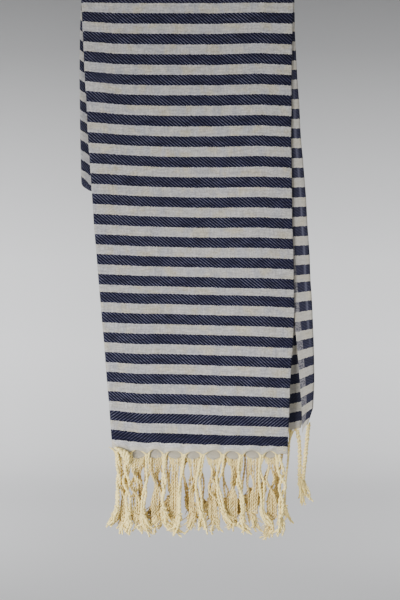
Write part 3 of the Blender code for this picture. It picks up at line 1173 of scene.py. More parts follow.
class CordTree:
    """The Geometry Nodes tree that makes plied cords and loose yarns from wires."""

    INPUTS = {
        "Geometry": "Geometry",
        "Cord Step": "Float",
        "Yarn Step": "Float",
        "Lay Length": "Float",
        "Cord Sides": "Int",
        "Yarn Sides": "Int",
        "Groove": "Float",
        "Finish": "Material",
    }

    def __init__(self) -> None:
        """Builds the tree."""
        self.tree = bpy.data.node_groups.new("Plied cords", "GeometryNodeTree")
        self.graph = Graph(self.tree)
        sockets = self.tree.interface
        for name, kind in self.INPUTS.items():
            sockets.new_socket(name, in_out="INPUT", socket_type=f"NodeSocket{kind}")
        sockets.new_socket("Geometry", in_out="OUTPUT", socket_type="NodeSocketGeometry")
        self.entry = self.graph.node("NodeGroupInput").outputs
        self.make()

    def stored(self, name: str) -> Socket:
        """A stored number of the wire's points."""
        node = self.graph.node("GeometryNodeInputNamedAttribute", {"data_type": "FLOAT"}, Name=name)
        return node.outputs["Attribute"]

    def profile(self, sides: str, groove: object) -> Socket:
        """A ring that narrows where the two plies of a cord meet.

        Args:
            sides: the name of the input that gives its sides.
            groove: how deep it narrows.

        Returns:
            The ring.
        """
        graph = self.graph
        ring = graph.node("GeometryNodeCurvePrimitiveCircle", None, Resolution=self.entry[sides], Radius=1.0)
        place = graph.node("GeometryNodeInputPosition").outputs[0]
        y = graph.node("ShaderNodeSeparateXYZ", None, Vector=place).outputs[1]
        depth = graph.times(y, y)
        keep = graph.node(
            "GeometryNodeStoreNamedAttribute",
            {"data_type": "FLOAT", "domain": "POINT"},
            Geometry=ring.outputs[0],
            Name="groove",
            Value=depth,
        )
        size = graph.less(1.0, graph.times(depth, groove))
        scaled = graph.node("ShaderNodeVectorMath", {"operation": "SCALE"}, in0=place, Scale=size)
        shaped = graph.node(
            "GeometryNodeSetPosition", None, Geometry=keep.outputs[0], Position=scaled.outputs[0]
        )
        return shaped.outputs[0]

    def tubes(self, wires: Socket, step: str, sides: str, groove: object, plied: bool) -> Socket:
        """Tubes round some of the wires.

        Args:
            wires: the curves.
            step: the name of the input that spaces the rings.
            sides: the name of the input that gives the sides of a tube.
            groove: how deep the plies' groove is.
            plied: whether the tube twists along its length.

        Returns:
            The mesh.
        """
        graph = self.graph
        by_length = {"mode": "LENGTH"}
        even = graph.node("GeometryNodeResampleCurve", by_length, Curve=wires, Length=self.entry[step])
        curve = even.outputs[0]
        if plied:
            length = graph.node("GeometryNodeSplineParameter").outputs["Length"]
            lay = graph.over(length, self.entry["Lay Length"])
            tilt = graph.plus(graph.times(lay, math.tau), self.stored("turn"))
            curve = graph.node("GeometryNodeSetCurveTilt", None, Curve=curve, Tilt=tilt).outputs[0]
        sized = graph.node("GeometryNodeSetCurveRadius", None, Curve=curve, Radius=self.stored("thick"))
        form = graph.node(
            "GeometryNodeCurveToMesh",
            None,
            Curve=sized.outputs[0],
            Profile_Curve=self.profile(sides, groove),
            Fill_Caps=True,
        )
        if "Scale" in form.inputs:
            self.tree.links.new(self.stored("thick"), form.inputs["Scale"])
        return form.outputs[0]

    def make(self) -> None:
        """Links wires to tubes: cords on one branch, loose yarns on the other."""
        graph = self.graph
        curves = graph.node("GeometryNodeMeshToCurve", None, Mesh=self.entry["Geometry"]).outputs[0]
        smooth = graph.node("GeometryNodeCurveSplineType", {"spline_type": "CATMULL_ROM"}, Curve=curves)
        loose = graph.math("GREATER_THAN", self.stored("loose"), 0.5)
        parts = graph.node(
            "GeometryNodeSeparateGeometry", {"domain": "POINT"}, Geometry=smooth.outputs[0], Selection=loose
        )
        yarns = self.tubes(parts.outputs[0], "Yarn Step", "Yarn Sides", 0.0, False)
        cords = self.tubes(parts.outputs[1], "Cord Step", "Cord Sides", self.entry["Groove"], True)
        joined = graph.node("GeometryNodeJoinGeometry")
        self.tree.links.new(cords, joined.inputs[0])
        self.tree.links.new(yarns, joined.inputs[0])
        soft = graph.node("GeometryNodeSetShadeSmooth", None, Geometry=joined.outputs[0])
        real = graph.node("GeometryNodeRealizeInstances", None, Geometry=soft.outputs[0])
        dyed = graph.node(
            "GeometryNodeSetMaterial", None, Geometry=real.outputs[0], Material=self.entry["Finish"]
        )
        graph.node("NodeGroupOutput", None, Geometry=dyed.outputs[0])

    def apply(self, skein: Skein, values: dict[str, object]) -> bpy.types.Object:
        """The skein's strands as one plain mesh object.

        Args:
            skein: the strands.
            values: the tree's inputs by name.

        Returns:
            The finished object.
        """
        wire = skein.wire()
        weaver = wire.modifiers.new("Plied cords", "NODES")
        weaver.node_group = self.tree
        sockets = {s.name: s.identifier for s in self.tree.interface.items_tree if s.in_out == "INPUT"}
        for name, value in values.items():
            weaver[sockets[name]] = value
        graph = bpy.context.evaluated_depsgraph_get()
        mesh = bpy.data.meshes.new_from_object(wire.evaluated_get(graph))
        mesh.name = skein.name
        bpy.data.objects.remove(wire)
        return placed(skein.name, mesh)


class LockKind(Enum):
    """The kinds of lock, which hang and are drawn in different ways."""

    FRONT = "on the front panel"
    LOBED = "under a lobe of the middle run's hem"
    REAR = "behind the others"
    CORNER = "the inner run's lock at the right corner"
    LAST = "the rear run's last lock, which hangs alone"
    HIDDEN = "at the towel's hidden end"


class LockStyle(NamedTuple):
    """What sets one kind of lock apart."""

    tone: float  # darker as it rises: painted shade, deepest on the locks that hang behind
    thickness: float  # of its cords, as a share of the usual
    cords: int = 2
    open_out: float = 1.0  # how far the tail spreads
    strands: int = 7
    yarns: int = 16
    tail_tone: float = 0.0
    strand_flick: float = 3.4  # how far the ends turn aside, in millimetres
    yarn_flick: float = 2.0
    lean: float = 11.0  # how far aside the tail may lean, in millimetres
    even_tone: bool = False


LOCK_STYLES = {
    LockKind.FRONT: LockStyle(-0.25, 1.25),
    LockKind.LOBED: LockStyle(0.85, 0.98, cords=5, open_out=1.6),
    LockKind.REAR: LockStyle(1.25, 0.98, open_out=1.6),
    LockKind.CORNER: LockStyle(
        0.2, 0.98, open_out=0.72, strands=3, yarns=5, tail_tone=-0.5, even_tone=True
    ),
    LockKind.LAST: LockStyle(
        0.2, 1.75, open_out=1.5, strands=13, strand_flick=1.2, yarn_flick=1.2, even_tone=True
    ),
    LockKind.HIDDEN: LockStyle(1.25, 0.98, lean=1.0),
}
CORNER_STRETCH = 1.34
CORNER_DEPTHS = (0.0, 19.0, 38.0, 57.0, 76.0, 104.0, 130.0)
CORNER_COURSES = {
    LockKind.CORNER: (134.0, 130.5, 129.0, 128.4, 128.0, 126.5, 136.0),
    LockKind.LAST: (148.0, 148.0, 148.0, 148.0, 147.8, 152.5, 152.5),
}  # where the two locks at the right corner hang: x by depth, in millimetres
LAST_PAIR = {
    -1: (-6.5, -3.6, -2.9, -2.8, -2.4, -2.4, -2.4),
    1: (8.0, 6.2, 4.6, 3.0, 2.4, 2.4, 2.4),
}  # how far the last lock's two cords hang from its middle, in the same way


class Lock(NamedTuple):
    """One lock of a fringe."""

    root: Spot
    number: int  # counted through the whole end
    index: int  # counted in its run
    kind: LockKind

    @property
    def style(self) -> LockStyle:
        """The numbers of its kind."""
        return LOCK_STYLES[self.kind]

    @property
    def stretch(self) -> float:
        """Its length, as a share of the usual."""
        return CORNER_STRETCH if self.kind is LockKind.CORNER else 1 + 0.05 * math.sin(self.number * 2.4)


@dataclass
class Fringe:
    """The knotted fringe of one end: cords, a knot and loose yarn at each lock."""

    course: FoldedCourse
    side: Side
    cloth: TowelCloth
    seed: int
    cord_radius: float = 1.75 * MM
    strand_radius: float = 1.8 * MM
    yarn_radius: float = 0.6 * MM
    knot_depth: float = 76 * MM
    tail_depth: float = 100 * MM
    last_tail: float = 33 * MM
    lobe_half_width: float = 7.0 * MM
    sway: float = 2.2 * MM
    lobe_narrowing: float = 0.22  # how much closer together a lobe's cords end
    wander: float = 2.0 * MM
    knot_turns: float = 1.7
    knot_ends: tuple[float, float] = (-2.8 * MM, 3.4 * MM)  # above and below its middle
    knot_width: float = 2.8 * MM
    knot_thickness: float = 2.3 * MM
    tail_spread: tuple[float, float] = (2.8, 1.8)  # aside and to the back, in millimetres
    tail_bend: tuple[float, float] = (1.4, 1.0)
    fan_reach: tuple[float, float] = (2.0, 10.5)  # the nearest and farthest yarn, in millimetres
    fan_hold: float = 0.12  # how much of its reach a fan's yarn keeps in the lock
    lobe_fan_hold: float = 0.62
    lobe_fan_fall: float = 5.0 * MM
    cord_points: int = 13
    knot_points: int = 15
    tail_points: int = 7
    fan_yarns: int = 6

    def __post_init__(self) -> None:
        """Starts the random numbers and the skein."""
        self.random = random.Random(self.seed)
        self.outer = self.side is Side.FRONT
        self.skein = Skein(f"{self.side.value}_fringe")

    def locks(self) -> list[Lock]:
        """Every lock of this end, run by run.

        Returns:
            The locks.
        """
        roots = lock_roots(self.course)
        found = []
        for number, root in enumerate(roots):
            index = sum(earlier.run == root.run for earlier in roots[:number])
            kind = {FRONT_RUN: LockKind.FRONT, MIDDLE_RUN: LockKind.LOBED}.get(root.run, LockKind.REAR)
            kind = {0: LockKind.CORNER, len(roots) - 1: LockKind.LAST}.get(number, kind)
            found.append(Lock(root, number, index, kind if self.outer else LockKind.HIDDEN))
        return found

    def hem(self, root: Spot) -> float:
        """The hem's height at a root."""
        return self.cloth.front_height(root, HEM_PHASE) if self.outer else self.course.inner_hem(root)

    def centre(self, lock: Lock, depth: float) -> Vector:
        """The middle of a lock at a depth below its hem, as the CAD part's lock runs.

        Args:
            lock: the lock.
            depth: the depth, in metres.

        Returns:
            The point.
        """
        root = lock.root
        hem = self.hem(root)
        start = hem - SEAM_GAP - STRIP_HEIGHT
        height = hem - depth
        at_root = self.course.front(root, start, self.outer)
        hung = self.course.front(root, min(height, hem), self.outer)
        row = ROWS[root.run]
        if self.outer:
            shift = row.front_shift * MM * eased(-height, -SPREAD_TOP, -SPREAD_BOTTOM)
        else:
            shift = row.inner_shift * MM * eased(start - height, INNER_SPREAD_TOP, INNER_SPREAD_BOTTOM)
        sway = self.sway * math.sin(lock.number * 1.7)
        x = at_root.x + sway * eased(depth, 0, 100 * MM)
        if lock.kind is LockKind.FRONT:
            bundle = FRONT_BUNDLES[lock.index]
            depths = (0.0, 34 * MM, self.knot_depth, self.tail_depth + 6 * MM)
            places = (at_root.x, bundle.middle * MM, bundle.knot * MM, bundle.tail * MM)
            x = looked_up(depths, places, depth)
        elif lock.kind is LockKind.LOBED:
            x += LOBE_SHIFTS.get(lock.index, 0.0) * MM * eased(depth, 0, 30 * MM)
        elif lock.kind in CORNER_COURSES:
            x = looked_up(CORNER_DEPTHS, CORNER_COURSES[lock.kind], depth / MM) * MM
        elif lock.kind is LockKind.HIDDEN:
            x = max(x, self.course.edges_at(height, False).outer_fold + 9 * MM)
        return Vector((x, hung.y + shift, height))

    def lock(self, lock: Lock) -> None:
        """Adds one lock: its cords, knot, tail and fan.

        Args:
            lock: the lock.
        """
        draw, style = self.random, lock.style
        uneven = draw.uniform(-0.2, 0.2)
        tone = style.tone if style.even_tone else style.tone + uneven
        apart = draw.uniform(1.8, 3.2) * MM
        if lock.kind is LockKind.FRONT:
            apart = FRONT_BUNDLES[lock.index].open * MM
        facing = draw.uniform(-0.6, 0.6)
        turns = draw.choice((0.0, 0.0, 0.5, -0.5, 1.0))
        thick = self.cord_radius * draw.uniform(0.9, 1.1) * style.thickness
        if lock.kind is LockKind.CORNER:
            facing, turns, apart = 1.4, 0.0, 1.6 * MM
        for cord in range(style.cords):
            side = mixed(-1, 1, cord / (style.cords - 1))
            self.cord(lock, side, (apart, facing, turns), thick, tone)
        self.knot(lock, tone)
        self.tail(lock, tone + style.tail_tone)
        self.fan(lock, tone)

    def cord(
        self, lock: Lock, side: float, lay: tuple[float, float, float], thick: float, tone: float
    ) -> None:
        """Adds one of a lock's cords, from its root to the knot.

        Args:
            lock: the lock.
            side: which of its cords, from -1 at the left to 1.
            lay: how far apart the cords hang, which way their row faces, and their turns round it.
            thick: the cord's radius.
            tone: the lock's tone.
        """
        draw = self.random
        apart, facing, turns = lay
        lobed = lock.kind is LockKind.LOBED
        wander = Vector((draw.uniform(-1, 1), draw.uniform(-0.6, 0.6), 0)) * self.wander
        first = 0.2 * MM
        if lobed:
            first -= self.cloth.hem_rise(lock.root.run, self.centre(lock, 0).x + side * self.lobe_half_width)
        points, radii = [], []
        for i in range(self.cord_points):
            share = i / (self.cord_points - 1)
            depth = mixed(first, self.knot_depth, share) * lock.stretch
            width = side * apart * (0.5 + 0.6 * math.sin(math.pi * min(share * 1.1, 1.0)))
            if lobed:
                width = side * self.lobe_half_width * (1 - self.lobe_narrowing * eased(share, 0.35, 1.0))
            angle = facing + turns * math.tau * eased(share, 0.1, 0.9)
            aside = Vector((width * math.cos(angle), width * math.sin(angle) * 0.7, 0))
            aside += wander * math.sin(math.tau * share * 0.9) * math.sin(math.pi * share)
            if lock.kind is LockKind.LAST:
                reach = looked_up(CORNER_DEPTHS, LAST_PAIR[int(side)], depth / MM)
                aside = Vector((reach, -1, -7 * (1 - share) if side < 0 else 0)) * MM
            point = self.centre(lock, depth) + aside
            first_x = points[0].x if points else point.x
            points.append(self.beside_gaps(point, first_x))
            radii.append(thick * draw.uniform(0.9, 1.1))
        self.skein.add(points, radii, tone + draw.uniform(-0.15, 0.15), draw.uniform(0, math.tau))

    def beside_gaps(self, point: Vector, first_x: float) -> Vector:
        """A cord's point moved out of the fringe's open places.

        Args:
            point: the point.
            first_x: where the cord starts, which decides the side that it passes on.

        Returns:
            The moved point.
        """
        if not self.outer:
            return point
        for gap in FRINGE_GAPS:
            along = (point.z / MM - gap.height) / gap.half_length
            if abs(along) < 1:
                middle = gap.x * MM
                side = 1 if first_x > middle else -1
                half = (gap.half_width + CORD_ROOM) * MM * math.cos(math.pi / 2 * along)
                point = Vector((middle + side * max(side * (point.x - middle), half), point.y, point.z))
        return point

    def knot(self, lock: Lock, tone: float) -> None:
        """Adds the knot: the cords wound round each other into a lump.

        Args:
            lock: the lock.
            tone: its tone.
        """
        draw = self.random
        middle = self.knot_depth * lock.stretch
        lean = draw.uniform(-0.8, 0.8)
        points = []
        for i in range(self.knot_points):
            share = i / (self.knot_points - 1)
            angle = lean + math.tau * self.knot_turns * share
            depth = middle + mixed(*self.knot_ends, share) + MM * math.cos(angle)
            around = Vector((math.cos(angle) * self.knot_width, math.sin(angle) * self.knot_thickness, 0))
            points.append(self.centre(lock, depth) + around)
        radii = [self.cord_radius * 0.95] * self.knot_points
        self.skein.add(points, radii, tone + 0.1, draw.uniform(0, math.tau))

    def tail(self, lock: Lock, tone: float) -> None:
        """Adds the loose ends below the knot: wavy strands and single yarns that open downwards.

        Args:
            lock: the lock.
            tone: its tone.
        """
        draw, style = self.random, lock.style
        start = self.knot_depth * lock.stretch
        length = (self.tail_depth - self.knot_depth) * draw.uniform(0.75, 1.25)
        lean = draw.uniform(-style.lean, style.lean) * MM
        if lock.kind is LockKind.LAST:
            length, lean = self.last_tail, 1.5 * MM
        strands = [(self.strand_radius, style.strand_flick, (0.6, 1.1), False)] * style.strands
        yarns = [(self.yarn_radius, style.yarn_flick, (0.4, 0.9), True)] * style.yarns
        for thick, most_flick, reaches, loose in strands + yarns:
            aside, back = (draw.gauss(0, width) for width in self.tail_spread)
            spread = Vector((aside, back, 0)) * MM * style.open_out
            aside, back = (draw.gauss(0, width) for width in self.tail_bend)
            bend = Vector((aside, back, 0)) * MM
            flick = draw.gauss(0, most_flick) * MM if self.outer else 0.0
            reach = length * draw.uniform(*reaches)
            points, radii = [], []
            for i in range(self.tail_points):
                share = i / (self.tail_points - 1)
                off = Vector((lean * share * share + flick * share**4, 0, 0))
                off += spread * (0.25 + 0.75 * share)
                off += bend * math.sin(math.tau * 1.2 * share)
                points.append(self.centre(lock, start + reach * share) + off)
                radii.append(thick * mixed(1.1, 0.75, share**3))
            turn = draw.uniform(0, math.tau)
            self.skein.add(points, radii, tone + draw.uniform(-0.2, 0.2), turn, loose, TAIL_FADE)

    def fan(self, lock: Lock, tone: float) -> None:
        """Adds the yarns that run along the hem's edge into the root of a lock.

        Args:
            lock: the lock.
            tone: its tone.
        """
        draw = self.random
        centre = self.centre(lock, 0.0)
        lobed, last = lock.kind is LockKind.LOBED, lock.kind is LockKind.LAST
        hold = self.lobe_fan_hold if lobed else self.fan_hold
        hem = self.hem(lock.root)
        for half in (-1, 1):
            if last:
                centre = self.centre(lock, 0.0) + Vector((LAST_PAIR[half][0] * MM, 0, 0))
            for i in range(self.fan_yarns):
                share = (i + draw.uniform(0.2, 0.8)) / self.fan_yarns
                reach = half * mixed(*self.fan_reach, share) * MM
                reach *= 0.2 if last and half > 0 else 1.0
                points = []
                for out in (1.0, 0.3) if lobed else (1.0, 0.7, 0.4):
                    x = centre.x + reach * (mixed(0.8, 1, out) if lobed else out)
                    rise = self.cloth.hem_rise(lock.root.run, x) if self.outer else 0.0
                    fall = self.lobe_fan_fall * (1 - out) if lobed else 0.0
                    points.append(Vector((x, centre.y - 0.5 * MM, hem + rise + 0.3 * MM - fall)))
                low = self.centre(lock, draw.uniform(7, 11) * MM)
                low.x = centre.x if last else low.x
                low += Vector((reach * hold, -0.6 * MM, 0))
                points.append(low)
                self.skein.add(points, [self.yarn_radius] * len(points), tone * 0.4, loose=True)

    def corner(self) -> None:
        """Adds the thick soft roll of yarn at the front panel's left corner."""
        draw = self.random
        for i in range(ROLL_YARNS):
            points = []
            for at in ROLL:
                uneven = draw.uniform(-at.uneven, at.uneven) if at.uneven else 0.0
                points.append(Vector((at.x + i * at.step_x, at.y + uneven, at.z + i * at.step_z)) * MM)
            radii = [at.radius * MM for at in ROLL]
            self.skein.add(points, radii, ROLL_TONE, draw.uniform(0, math.tau))

    def build(self, tree: CordTree, finish: bpy.types.Material) -> bpy.types.Object:
        """Makes the whole fringe as one mesh.

        Args:
            tree: the tree that makes cords from wires.
            finish: the yarn's material.

        Returns:
            The fringe.
        """
        for lock in self.locks():
            self.lock(lock)
        if self.outer:
            self.corner()
        values = {
            "Cord Step": (1.7 if self.outer else 2.2) * MM,
            "Yarn Step": 6.0 * MM,
            "Lay Length": 9.5 * MM,
            "Cord Sides": 8 if self.outer else 6,
            "Yarn Sides": 3,
            "Groove": 0.5,
            "Finish": finish,
        }
        return tree.apply(self.skein, values)


@dataclass(frozen=True)
class StripedWeave:
    """The cloth's finish: navy bands with a fine twill line, cream ground and grey selvedges, with painted
    light on the rear runs, painted shade on the lobes and a painted highlight on the flap's fold.
    """

    navy: Colour = (0.0058, 0.0057, 0.0215, 1.0)
    twill: Colour = (0.355, 0.36, 0.475, 1.0)
    cream: Colour = (0.465, 0.452, 0.44, 1.0)
    warm: Colour = (0.475, 0.44, 0.36, 1.0)
    cool: Colour = (0.415, 0.412, 0.43, 1.0)
    selvedge: Colour = (0.21, 0.203, 0.22, 1.0)
    # lobe: warm and darker, painted shade under the front hem's arches, with a warm tint of the ecru yarn at
    # the hem
    lobe: Colour = (0.36, 0.315, 0.235, 1.0)
    thread: float = 0.85 * MM
    twill_across: float = 4.8 * MM
    twill_along: float = 3.9 * MM
    roughness: float = 0.88
    specular: float = 0.08
    sheen: float = 0.04
    strength: float = 0.7
    relief: float = 0.25 * MM

    def material(self) -> bpy.types.Material:
        """Builds the finish.

        Returns:
            The material.
        """
        finish = Finish("striped_weave", self.roughness, self.specular, self.sheen)
        graph = finish.graph
        uv = graph.node("ShaderNodeUVMap", {"uv_map": "Weave"}).outputs[0]
        u, v = graph.node("ShaderNodeSeparateXYZ", None, Vector=uv).outputs[:2]
        share = graph.math("FRACT", self.stripe_phase(graph, uv, u, v))
        foot = graph.ramp(share, 1 - BAND_SHARE - 0.008, 1 - BAND_SHARE + 0.008)
        band = graph.times(foot, graph.ramp(share, 0.984, 1.0, 1.0, 0.0))
        line = self.twill_line(graph, u, v)
        side = graph.stored("twill")
        streak = self.noise(graph, uv, (70.0, 420.0), 2.0)
        grain = self.noise(graph, uv, (420.0, 520.0), 1.0, 3.1)
        navy = self.navy_band(graph, uv, (u, v), line, side, streak)
        cream = self.cream_ground(graph, uv, v, share, side, (streak, grain))
        # grey selvedges
        edge = graph.ramp(graph.stored("inset"), 0.9, 1.0, 1.0, 0.0)
        speck = graph.ramp(grain, 0.42, 0.58, 0.35, 1.0)
        navy = graph.blend(graph.times(edge, speck), navy, self.selvedge)
        # relief of warp and weft, with the twill lines raised
        over = graph.math("SINE", graph.times(u, math.tau / self.thread))
        under = graph.math("SINE", graph.times(v, math.tau / self.thread))
        height = graph.plus(graph.times(over, under), graph.times(streak, 1.6), graph.times(line, band, 0.6))
        return finish.closed(graph.blend(band, cream, navy), height, self.strength, self.relief)

    def stripe_phase(self, graph: Graph, uv: Socket, u: Socket, v: Socket) -> Socket:
        """The stripes' count along the cloth, shifted a little thread by thread and in slow bows.

        Args:
            graph: the material's nodes.
            uv: the place on the flat cloth, in metres.
            u: its part along the weft.
            v: its part along the warp.

        Returns:
            The count.
        """
        column = graph.math("FLOOR", graph.over(u, self.thread))
        white = graph.node("ShaderNodeTexWhiteNoise", {"noise_dimensions": "1D"}, W=column).outputs[0]
        saw = graph.times(graph.less(white, 0.5), 0.035)
        flat = {"noise_dimensions": "2D"}
        bow = graph.node("ShaderNodeTexNoise", flat, Vector=uv, Scale=16.0, Detail=1.0).outputs[0]
        drift = graph.times(graph.less(bow, 0.5), 0.03)
        return graph.plus(graph.over(v, BAND_PITCH), graph.plus(saw, drift))

    def twill_line(self, graph: Graph, u: Socket, v: Socket) -> Socket:
        """Thin slanting lines, which lean the other way in the two stripes by the hem.

        Args:
            graph: the material's nodes.
            u: the place along the weft, in metres.
            v: the place along the warp.

        Returns:
            1 on a line and 0 between them.
        """
        turned = graph.math("LESS_THAN", v, 2 * BAND_PITCH)
        lean = graph.times(graph.over(u, self.twill_across), graph.less(graph.times(turned, 2.0), 1.0))
        lean = graph.plus(graph.over(v, self.twill_along), lean)
        return graph.ramp(graph.math("SINE", graph.times(lean, math.tau)), 0.55, 1.0)

    def navy_band(
        self,
        graph: Graph,
        uv: Socket,
        place: tuple[Socket, Socket],
        line: Socket,
        side: Socket,
        streak: Socket,
    ) -> Socket:
        """The navy stripes' colour: light twill lines, strong in patches, lightened as painted light on the
        rear runs, and a painted highlight along the flap's fold.

        Args:
            graph: the material's nodes.
            uv: the place on the flat cloth, in metres.
            place: its two parts.
            line: where the twill lines are.
            side: 1 on the front panel and the run behind it, and less elsewhere, where painted light is
                added.
            streak: noise that runs along the weft.

        Returns:
            The colour.
        """
        u, v = place
        patch = self.noise(graph, uv, (34.0, 60.0), 2.0)
        strength = graph.times(
            graph.ramp(patch, 0.36, 0.62, 0.24, 0.40),
            side,
            graph.ramp(v, 0.9 * BAND_PITCH, 1.2 * BAND_PITCH, 0.5, 1.0),
            graph.ramp(u, -0.12, -0.085, 0.6, 1.0),
        )
        navy = graph.blend(graph.times(line, strength), self.navy, self.twill)
        navy = graph.shade(navy, graph.ramp(streak, 0.3, 0.7, 0.7, 1.2))
        # painted light: the navy of the rear runs, in shade behind the front panel, is lightened
        navy = graph.blend(graph.ramp(side, 0.2, 1.0, 0.05, 0.0), navy, self.twill)
        # painted highlight: a lighter line along the flap's fold, where the cloth turns
        return graph.blend(graph.times(graph.stored("fold_highlight"), 0.22), navy, self.twill)

    def cream_ground(
        self, graph: Graph, uv: Socket, v: Socket, share: Socket, side: Socket, noises: tuple[Socket, Socket]
    ) -> Socket:
        """The cream ground's colour: warm and cool patches, with thread lines both ways, warmed as painted
        light on the rear runs and with painted shade on the lobes.

        Args:
            graph: the material's nodes.
            uv: the place on the flat cloth, in metres.
            v: its part along the warp.
            share: how far through its stripe the place lies.
            side: 1 on the front panel and the run behind it, and less elsewhere, where painted light is
                added.
            noises: noise that runs along the weft, and fine grain.

        Returns:
            The colour.
        """
        streak, grain = noises
        warmth = self.noise(graph, uv, (45.0, 70.0), 3.0)
        coolness = self.noise(graph, uv, (75.0, 40.0), 3.0, 7.3)
        warp = self.noise(graph, uv, (380.0, 60.0), 1.0)
        cream = graph.blend(graph.ramp(warmth, 0.42, 0.68), self.cream, self.warm)
        cream = graph.blend(graph.ramp(coolness, 0.45, 0.70), cream, self.cool)
        for pattern, low, high in ((streak, 0.88, 1.08), (warp, 0.92, 1.06), (grain, 0.85, 1.12)):
            cream = graph.shade(cream, graph.ramp(pattern, 0.3, 0.7, low, high))
        ecru = graph.ramp(v, 0.1 * BAND_PITCH, 0.34 * BAND_PITCH, 0.95, 0.0)
        cream = graph.blend(ecru, cream, self.warm)
        # painted light: the rear runs' cream is warmed, as by warm light bouncing into their shade
        cream = graph.blend(graph.ramp(side, 0.2, 1.0, 0.5, 0.0), cream, self.warm)
        halo = graph.math("ABSOLUTE", graph.less(share, (1 - BAND_SHARE) / 2))
        cream = graph.shade(cream, graph.ramp(halo, 0.15, 0.23, 1.0, 1.12))
        cream = graph.shade(cream, graph.ramp(v, 0.4 * BAND_PITCH, 0.6 * BAND_PITCH, 1.22, 1.0))
        # painted shade: the lobes darken towards the top, under the front hem's arches
        return graph.blend(graph.times(graph.stored("lobe"), 0.8), cream, self.lobe)

    def noise(
        self, graph: Graph, uv: Socket, cells: tuple[float, float], detail: float, shift: float = 0.0
    ) -> Socket:
        """Noise on the cloth.

        Args:
            graph: the material's nodes.
            uv: the place on the flat cloth, in metres.
            cells: how many cells a metre holds across and along.
            detail: how many finer layers it has.
            shift: an offset, so that two noises of one scale differ.

        Returns:
            The noise, about 0.5.
        """
        settings = {"vector_type": "POINT"}
        offset, scale = (shift, shift, 0.0), (*cells, 1.0)
        place = graph.node("ShaderNodeMapping", settings, Vector=uv, Location=offset, Scale=scale).outputs[0]
        flat = {"noise_dimensions": "2D"}
        return graph.node("ShaderNodeTexNoise", flat, Vector=place, Scale=1.0, Detail=detail).outputs[0]


@dataclass(frozen=True)
class CottonYarn:
    """The fringe's finish: undyed cotton, with painted shade in the groove between the plies and on the locks
    that hang behind.
    """

    lit: Colour = (0.95, 0.79, 0.335, 1.0)
    deep: Colour = (0.42, 0.285, 0.12, 1.0)
    roughness: float = 0.9
    specular: float = 0.2
    sheen: float = 0.1
    strength: float = 0.5
    relief: float = 0.2 * MM

    def material(self) -> bpy.types.Material:
        """Builds the finish.

        Returns:
            The material.
        """
        finish = Finish("cotton_yarn", self.roughness, self.specular, self.sheen)
        graph = finish.graph
        groove, tone = graph.stored("groove"), graph.stored("tone")
        place = graph.node("ShaderNodeTexCoord").outputs["Object"]
        fleck, patch = (
            graph.node("ShaderNodeTexNoise", None, Vector=place, Scale=scale, Detail=2.0).outputs[0]
            for scale in (900.0, 120.0)
        )
        # painted shade in the plies' groove and on the rear locks, by their tone; the patches and flecks are
        # the yarn's own uneven colour
        darkness_and_shade = graph.plus(
            graph.times(graph.ramp(groove, 0.45, 1.0), graph.ramp(tone, -0.2, 0.9, 0.3, 0.62)),
            graph.times(graph.less(patch, 0.5), 0.7),
            graph.times(tone, 0.35),
            graph.times(graph.less(fleck, 0.5), 0.2),
        )
        colour = graph.blend(graph.ramp(darkness_and_shade, -0.1, 1.0), self.lit, self.deep)
        return finish.closed(colour, fleck, self.strength, self.relief)


class Lamp(NamedTuple):
    """A soft rectangular studio light."""

    name: str
    place: tuple[float, float, float]
    aim: tuple[float, float, float]
    width: float
    height: float
    power: float
    spread: float


